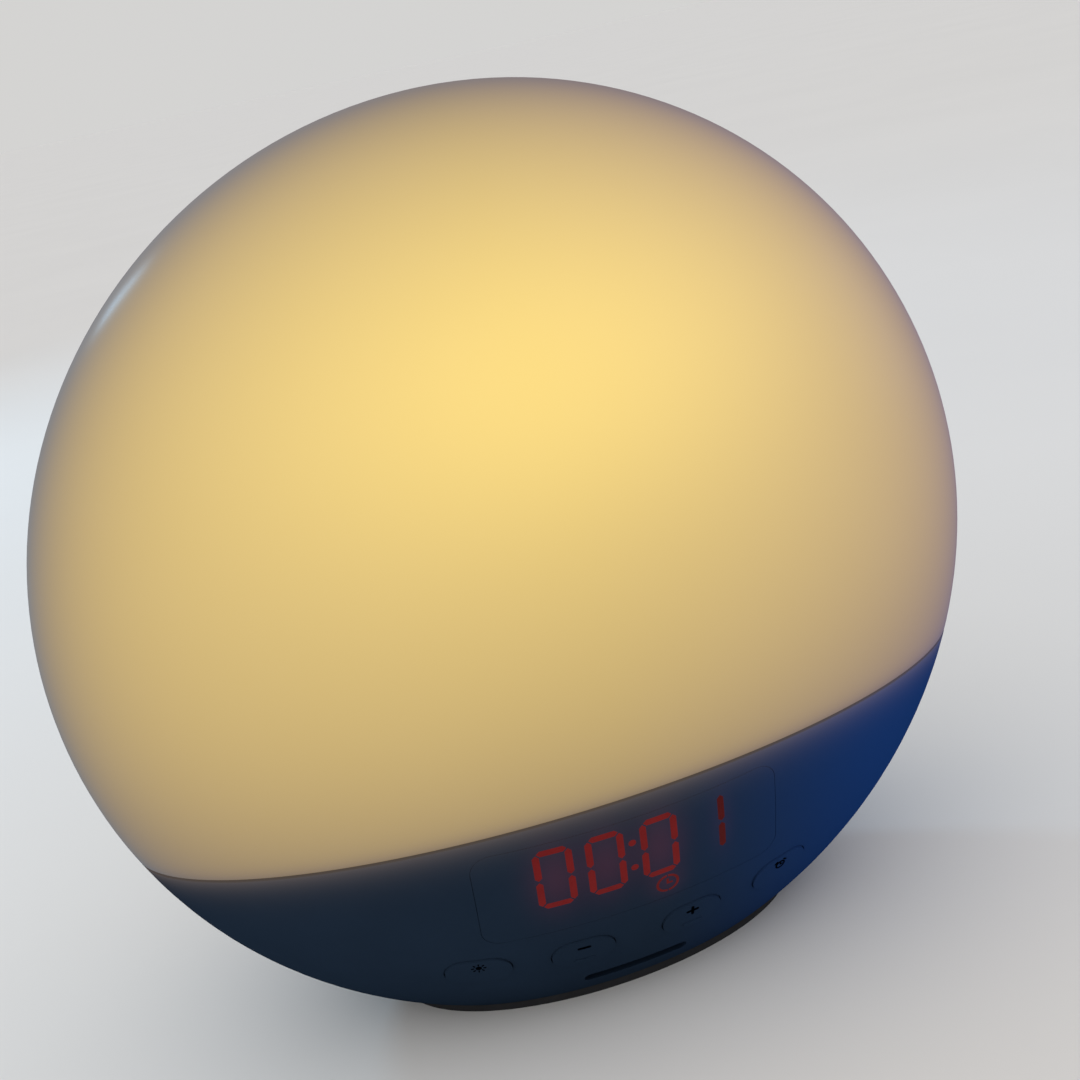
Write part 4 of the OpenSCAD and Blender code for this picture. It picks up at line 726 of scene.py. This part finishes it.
def strap(name, middle, wide, high, broad, thick):
    """A strap wrapped once round a coil's turns, with its free end laid back over the top."""
    let_go()
    piece = block_at(name, middle, (wide, broad, high))
    open_mesh(piece)
    choose_faces(piece, lambda place, normal: abs(normal.y) > 0.9)
    bpy.ops.mesh.delete(type="ONLY_FACE")
    choose_edges(piece, lambda a, b: abs(a.y - b.y) > broad * 0.9)
    bpy.ops.mesh.bevel(offset=min(wide, high) * 0.22, segments=5, profile=0.5, affect="EDGES")
    bpy.ops.mesh.select_all(action="SELECT")
    bpy.ops.mesh.subdivide(number_cuts=1)
    let_go()
    use_modifier(piece, "SOLIDIFY", thickness=thick, offset=-1.0, use_even_offset=True)
    use_modifier(piece, "BEVEL", width=thick * 0.3, segments=2, limit_method="ANGLE",
                 angle_limit=math.radians(50))
    flap_middle = middle + Vector((wide * 0.06, 0, high / 2 + thick * 0.5))
    flap = block_at(name + "_flap", flap_middle, (wide * 0.62, broad, thick))
    open_mesh(flap)
    choose_edges(flap, lambda a, b: abs(a.z - b.z) > thick * 0.9 and min(a.x, b.x) > middle.x)
    bpy.ops.mesh.bevel(offset=broad * 0.3, segments=5, affect="EDGES")
    choose_edges(flap, lambda a, b: min(a.z, b.z) > middle.z + high / 2 + thick * 0.9)
    bpy.ops.mesh.bevel(offset=thick * 0.35, segments=2, affect="EDGES")
    let_go()
    piece = weld([piece, flap], name)
    settle(piece, 35)
    return piece


mains_tie = strap("mains_tie", Vector((15, 122, 5.7)) * MM, 21.8 * MM, 11.4 * MM, 8 * MM, 0.45 * MM)
aerial_tie = strap("aerial_tie", Vector((84.8, 80, 3.2)) * MM, 8.2 * MM, 6.4 * MM, 4 * MM, 0.4 * MM)
dress(mains_tie, tie_black, replaces=("cord_ties",))
dress(aerial_tie, tie_black)

# ---------------------------------------------------------------- the plug

def plug_body():
    """A flat two-pin plug: a rounded block with grip ridges and a ribbed neck."""
    let_go()
    middle = plug_middle
    block = block_at("plug_block", middle, (33 * MM, 24 * MM, 13.6 * MM))
    open_mesh(block)
    choose_edges(block, lambda a, b: abs(a.y - b.y) > 20 * MM)
    bpy.ops.mesh.bevel(offset=6.3 * MM, segments=8, profile=0.5, affect="EDGES")
    choose_faces(block, lambda place, normal: normal.y > 0.9)
    bpy.ops.mesh.extrude_region_move(TRANSFORM_OT_translate={"value": (0, 4.5 * MM, 0)})
    bpy.ops.transform.resize(value=(0.66, 1, 0.92), center_override=middle)
    choose_faces(block, lambda place, normal: normal.y > 0.9)
    bpy.ops.mesh.inset(thickness=2.2 * MM)
    choose_edges(block, lambda a, b: abs(a.y - b.y) < 1e-6 and (a.y < 96.2 * MM or a.y > 119 * MM)
                 and (a - middle).length > 9 * MM)
    bpy.ops.mesh.bevel(offset=0.9 * MM, segments=3, profile=0.5, affect="EDGES", clamp_overlap=True)
    let_go()
    ridges = []
    for side in (-1, 1):
        for count in range(4):
            place = middle + Vector((side * 16.2, -6 + count * 4.0, 0)) * MM
            ridge = block_at("plug_ridge", place, (1.8 * MM, 1.6 * MM, 5.4 * MM))
            use_modifier(ridge, "BEVEL", width=0.5 * MM, segments=2)
            ridges.append(ridge)
    neck_outline = [(2.62, 0.4), (4.1, 0.0), (4.4, 0.5), (4.7, 3.2), (4.1, 3.5), (4.1, 4.3), (5.1, 4.6),
                    (5.4, 6.6), (4.8, 6.9), (4.8, 7.7), (5.9, 8.0), (6.3, 11.5), (6.3, 12.4), (2.62, 12.4),
                    (2.62, 0.4)]
    neck = turned_mm("plug_neck", neck_outline, 36)
    aimed(neck, Vector((44, 132, 6.8)) * MM, Vector((0, -1, 0)))
    return weld([block, neck] + ridges, "cord_plug")


plug = plug_body()
settle(plug, 35)
dress(plug, plug_grey, replaces=("plug_body",))
pin_outline = [(0, -1.0), (2.0, -1.0), (2.0, 17.8), (1.75, 18.5), (1.2, 18.9), (0, 19.0)]
sleeve_outline = [(1.6, -0.6), (2.04, -0.6), (2.04, 9.6), (1.95, 9.9), (1.6, 9.9)]
pins, sleeves = [], []
for side in (-1, 1):
    foot = Vector((44 + side * plug_pin_apart, 96, 6.8)) * MM
    pins.append(aimed(turned_mm("plug_pin", pin_outline, 28), foot, Vector((0, -1, 0))))
    sleeves.append(aimed(turned_mm("pin_sleeve", sleeve_outline, 28), foot, Vector((0, -1, 0))))
plug_pins = weld(pins, "cord_plug_pins")
dress(plug_pins, pin_brass, replaces=("plug_pins",))
pin_sleeves = weld(sleeves, "cord_plug_sleeves")
dress(pin_sleeves, sleeve_black)

# ---------------------------------------------------------------- the opal dome

def body_shell(name, outer_inset, inner_inset, around=192, rings=96):
    """Two closed forms of the body, one inside the other, their rings level with the seam."""
    let_go()
    stretch = math.atan(body_half_depth * math.sin(seam_tilt) / (body_half_width * math.cos(seam_tilt)))
    bpy.ops.mesh.primitive_uv_sphere_add(segments=around, ring_count=rings, radius=1, location=(0, 0, 0),
                                         rotation=(-stretch, 0, 0))
    piece = named(name)
    bpy.ops.object.transform_apply(location=False, rotation=True, scale=False)
    piece.scale = (body_half_width - outer_inset, body_half_depth - outer_inset,
                   body_half_width - outer_inset)
    bpy.ops.object.transform_apply(location=False, rotation=False, scale=True)
    open_mesh(piece)
    bpy.ops.mesh.select_all(action="SELECT")
    bpy.ops.mesh.duplicate()
    bpy.ops.transform.resize(value=(
        (body_half_width - inner_inset) / (body_half_width - outer_inset),
        (body_half_depth - inner_inset) / (body_half_depth - outer_inset),
        (body_half_width - inner_inset) / (body_half_width - outer_inset)), center_override=(0, 0, 0))
    bpy.ops.mesh.flip_normals()
    bpy.ops.mesh.select_all(action="SELECT")
    bpy.ops.transform.translate(value=(0, 0, body_centre_height))
    return piece


def cut_level(piece, above_seam, keep):
    """Cuts a shell level with the seam, keeps one side and closes the wall between its two skins."""
    if piece.mode != "EDIT":
        open_mesh(piece)
    bpy.ops.mesh.select_all(action="SELECT")
    place = Vector((0, 0, seam_height)) + seam_up * above_seam
    bpy.ops.mesh.bisect(plane_co=place, plane_no=seam_up, use_fill=False,
                        clear_inner=(keep == "above"), clear_outer=(keep == "below"))
    bpy.ops.mesh.bridge_edge_loops()


def round_edges(piece, above_seam, offset, segments=3):
    """Rounds the two edges of the wall at this cut."""
    def on_cut(point):
        return abs((point - Vector((0, 0, seam_height))).dot(seam_up) - above_seam) < 0.00002
    mesh = bmesh.from_edit_mesh(piece.data)
    bpy.ops.mesh.select_mode(type="EDGE")
    for edge in mesh.edges:
        ends = on_cut(edge.verts[0].co) and on_cut(edge.verts[1].co)
        flat = [abs(face.normal.dot(seam_up)) > 0.98 for face in edge.link_faces]
        edge.select_set(ends and flat.count(True) == 1)
    bmesh.update_edit_mesh(piece.data)
    bpy.ops.mesh.bevel(offset=offset, segments=segments, profile=0.5, affect="EDGES")


cover = body_shell("dome_cover", 0.0, dome_wall)
cut_level(cover, seam_gap, "above")
round_edges(cover, seam_gap, 0.5 * MM, 4)
let_go()
inner_rim = body_shell("dome_rim", 1.6 * MM, 4.8 * MM)
cut_level(inner_rim, seam_gap + 0.1 * MM, "above")
cut_level(inner_rim, 2.4 * MM, "below")
let_go()
inner_lip = body_shell("dome_lip", 3.0 * MM, 4.8 * MM)
cut_level(inner_lip, -2.6 * MM, "above")
cut_level(inner_lip, 2.2 * MM, "below")
round_edges(inner_lip, -2.6 * MM, 0.3 * MM, 2)
let_go()
cover = weld([cover, inner_rim, inner_lip], "dome_cover")
take(cover)
bpy.ops.object.shade_smooth_by_angle(angle=math.radians(35))
dress(cover, opal_dome, replaces=("dome",))


# ---------------------------------------------------------------- the marks on the buttons

def skin_place(across, rise, centre, turn, proud):
    """Where a line straight out of the slanted face meets the body, and the way it faces there."""
    up_face = Vector((0, math.cos(turn), math.sin(turn)))
    out = Vector((0, -math.sin(turn), math.cos(turn)))
    middle = Vector((0, 0, body_centre_height))
    size = Vector((body_half_width + proud, body_half_depth + proud, body_half_width + proud))
    begin = centre + Vector((across, 0, 0)) + up_face * rise - middle
    a = sum((out[i] / size[i]) ** 2 for i in range(3))
    b = sum(2 * begin[i] * out[i] / size[i] ** 2 for i in range(3))
    c = sum((begin[i] / size[i]) ** 2 for i in range(3)) - 1
    far = (-b + math.sqrt(b * b - 4 * a * c)) / (2 * a)
    point = begin + out * far
    facing = Vector([point[i] / size[i] ** 2 for i in range(3)]).normalized()
    return point + middle, facing, up_face


def flat_bar(wide, high, thick, corner, at=(0, 0), lean=0.0):
    """One stroke of a mark: a small bar with rounded ends and softened edges."""
    bpy.ops.mesh.primitive_cube_add(size=1, location=(at[0], at[1], 0), rotation=(0, 0, lean))
    bar = named("stroke")
    bar.scale = (wide, high, thick)
    bpy.ops.object.transform_apply(location=True, rotation=True, scale=True)
    open_mesh(bar)
    choose_edges(bar, lambda a, b: abs(a.z - b.z) > thick * 0.9)
    bpy.ops.mesh.bevel(offset=corner, segments=4, affect="EDGES")
    choose_faces(bar, lambda place, normal: normal.z > 0.9)
    bpy.ops.mesh.inset(thickness=corner * 0.2)
    let_go()
    return bar


def round_dot(radius, thick, at=(0, 0), hole=0.0):
    """A dot or, with a hole, a ring."""
    outline = [(hole, -thick / 2), (radius, -thick / 2), (radius, thick * 0.3), (radius * 0.94, thick / 2),
               (hole, thick / 2)]
    if hole:
        outline.append((hole, -thick / 2))
    dot = turned("dot", outline, 32)
    dot.location = (at[0], at[1], 0)
    return dot


def mark_shapes(name):
    """A sun, a minus, a plus or an alarm clock, each made of strokes, dots and rings."""
    thick = 0.24 * MM
    if name == "light":
        shapes = [round_dot(0.75 * MM, thick)]
        for count in range(8):
            way = count * math.pi / 4
            shapes.append(flat_bar(0.75 * MM, 0.3 * MM, thick, 0.12 * MM,
                                   (1.5 * MM * math.cos(way), 1.5 * MM * math.sin(way)), way))
    elif name == "down":
        shapes = [flat_bar(3.4 * MM, 0.75 * MM, thick, 0.3 * MM)]
    elif name == "up":
        shapes = [flat_bar(3.4 * MM, 0.75 * MM, thick, 0.3 * MM),
                  flat_bar(0.75 * MM, 3.4 * MM, thick, 0.3 * MM)]
    else:
        shapes = [round_dot(1.5 * MM, thick, hole=1.05 * MM),
                  flat_bar(0.35 * MM, 0.9 * MM, thick, 0.12 * MM, (0, 0.4 * MM)),
                  flat_bar(0.8 * MM, 0.35 * MM, thick, 0.12 * MM, (0.35 * MM, 0))]
        for side in (-1, 1):
            shapes.append(flat_bar(1.2 * MM, 0.4 * MM, thick, 0.15 * MM,
                                   (side * 1.35 * MM, 1.45 * MM), side * -0.7))
    return weld(shapes, "mark_" + name)


for name, across in button_places.items():
    mark = mark_shapes(name)
    take(mark)
    bpy.ops.object.transform_apply(location=True, rotation=True, scale=True)
    place, facing, up_face = skin_place(across, 2.4 * MM, buttons_centre, buttons_turn, button_proud)
    aimed(mark, place, facing, up_face)
    dress(mark, mark_dark, body="button_" + name)

# ---------------------------------------------------------------- stage and light

let_go()
bpy.ops.mesh.primitive_circle_add(vertices=96, radius=60, fill_type="NGON", location=(0, 0, 0))
floor = named("floor")
floor.data.materials.append(plain_finish(
    "floor_pale", srgb(222, 220, 216), 0.75, darker=0.975, patches=3, grains=160, depth=0.05, gloss=0.2))

world = bpy.data.worlds.new("studio")
bpy.context.scene.world = world
world.use_nodes = True
tree = world.node_tree
background = tree.nodes["Background"]
path = lay(tree, "LightPath")
seen = Amount(tree, path.outputs["Is Camera Ray"]).at_least(Amount(tree, path.outputs["Is Transmission Ray"]))
background.inputs["Strength"].default_value = 1.0
light_cast, backdrop = (0.62, 0.63, 0.66, 1), (0.66, 0.655, 0.645, 1)
tree.links.new(mix_colours(tree, seen, light_cast, backdrop), background.inputs["Color"])


def soft_lamp(name, towards, distance, wide, high, power, colour):
    """A soft rectangular lamp that looks at the clock from this direction."""
    middle = Vector((0, 0, 0.11))
    place = middle + Vector(towards).normalized() * distance
    let_go()
    bpy.ops.object.light_add(type="AREA", location=place)
    lamp = bpy.context.object
    lamp.name = name
    lamp.rotation_euler = (place - middle).to_track_quat("Z", "Y").to_euler()
    lamp.data.shape = "RECTANGLE"
    lamp.data.size = wide
    lamp.data.size_y = high
    lamp.data.energy = power
    lamp.data.color = colour
    lamp.visible_camera = False


def daylight(name, towards, strength, spread, colour):
    """Even light from far away, as from a wide soft box."""
    let_go()
    bpy.ops.object.light_add(type="SUN", location=Vector(towards))
    lamp = bpy.context.object
    lamp.name = name
    lamp.rotation_euler = Vector(towards).to_track_quat("Z", "Y").to_euler()
    lamp.data.energy = strength
    lamp.data.angle = math.radians(spread)
    lamp.data.color = colour


daylight("key", (-0.35, -0.55, 1.0), 1.10, 90, (1, 0.985, 0.96))
soft_lamp("edge_left", (-0.464, 0.774, 0.431), 1.3, 0.06, 0.24, 3.0, (0.42, 0.72, 1.0))
soft_lamp("fill_right", (0.98, 0.0, 0.10), 1.4, 0.7, 0.7, 2.0, (0.45, 0.55, 1.0))

# ---------------------------------------------------------------- nothing left selected at the end

let_go()
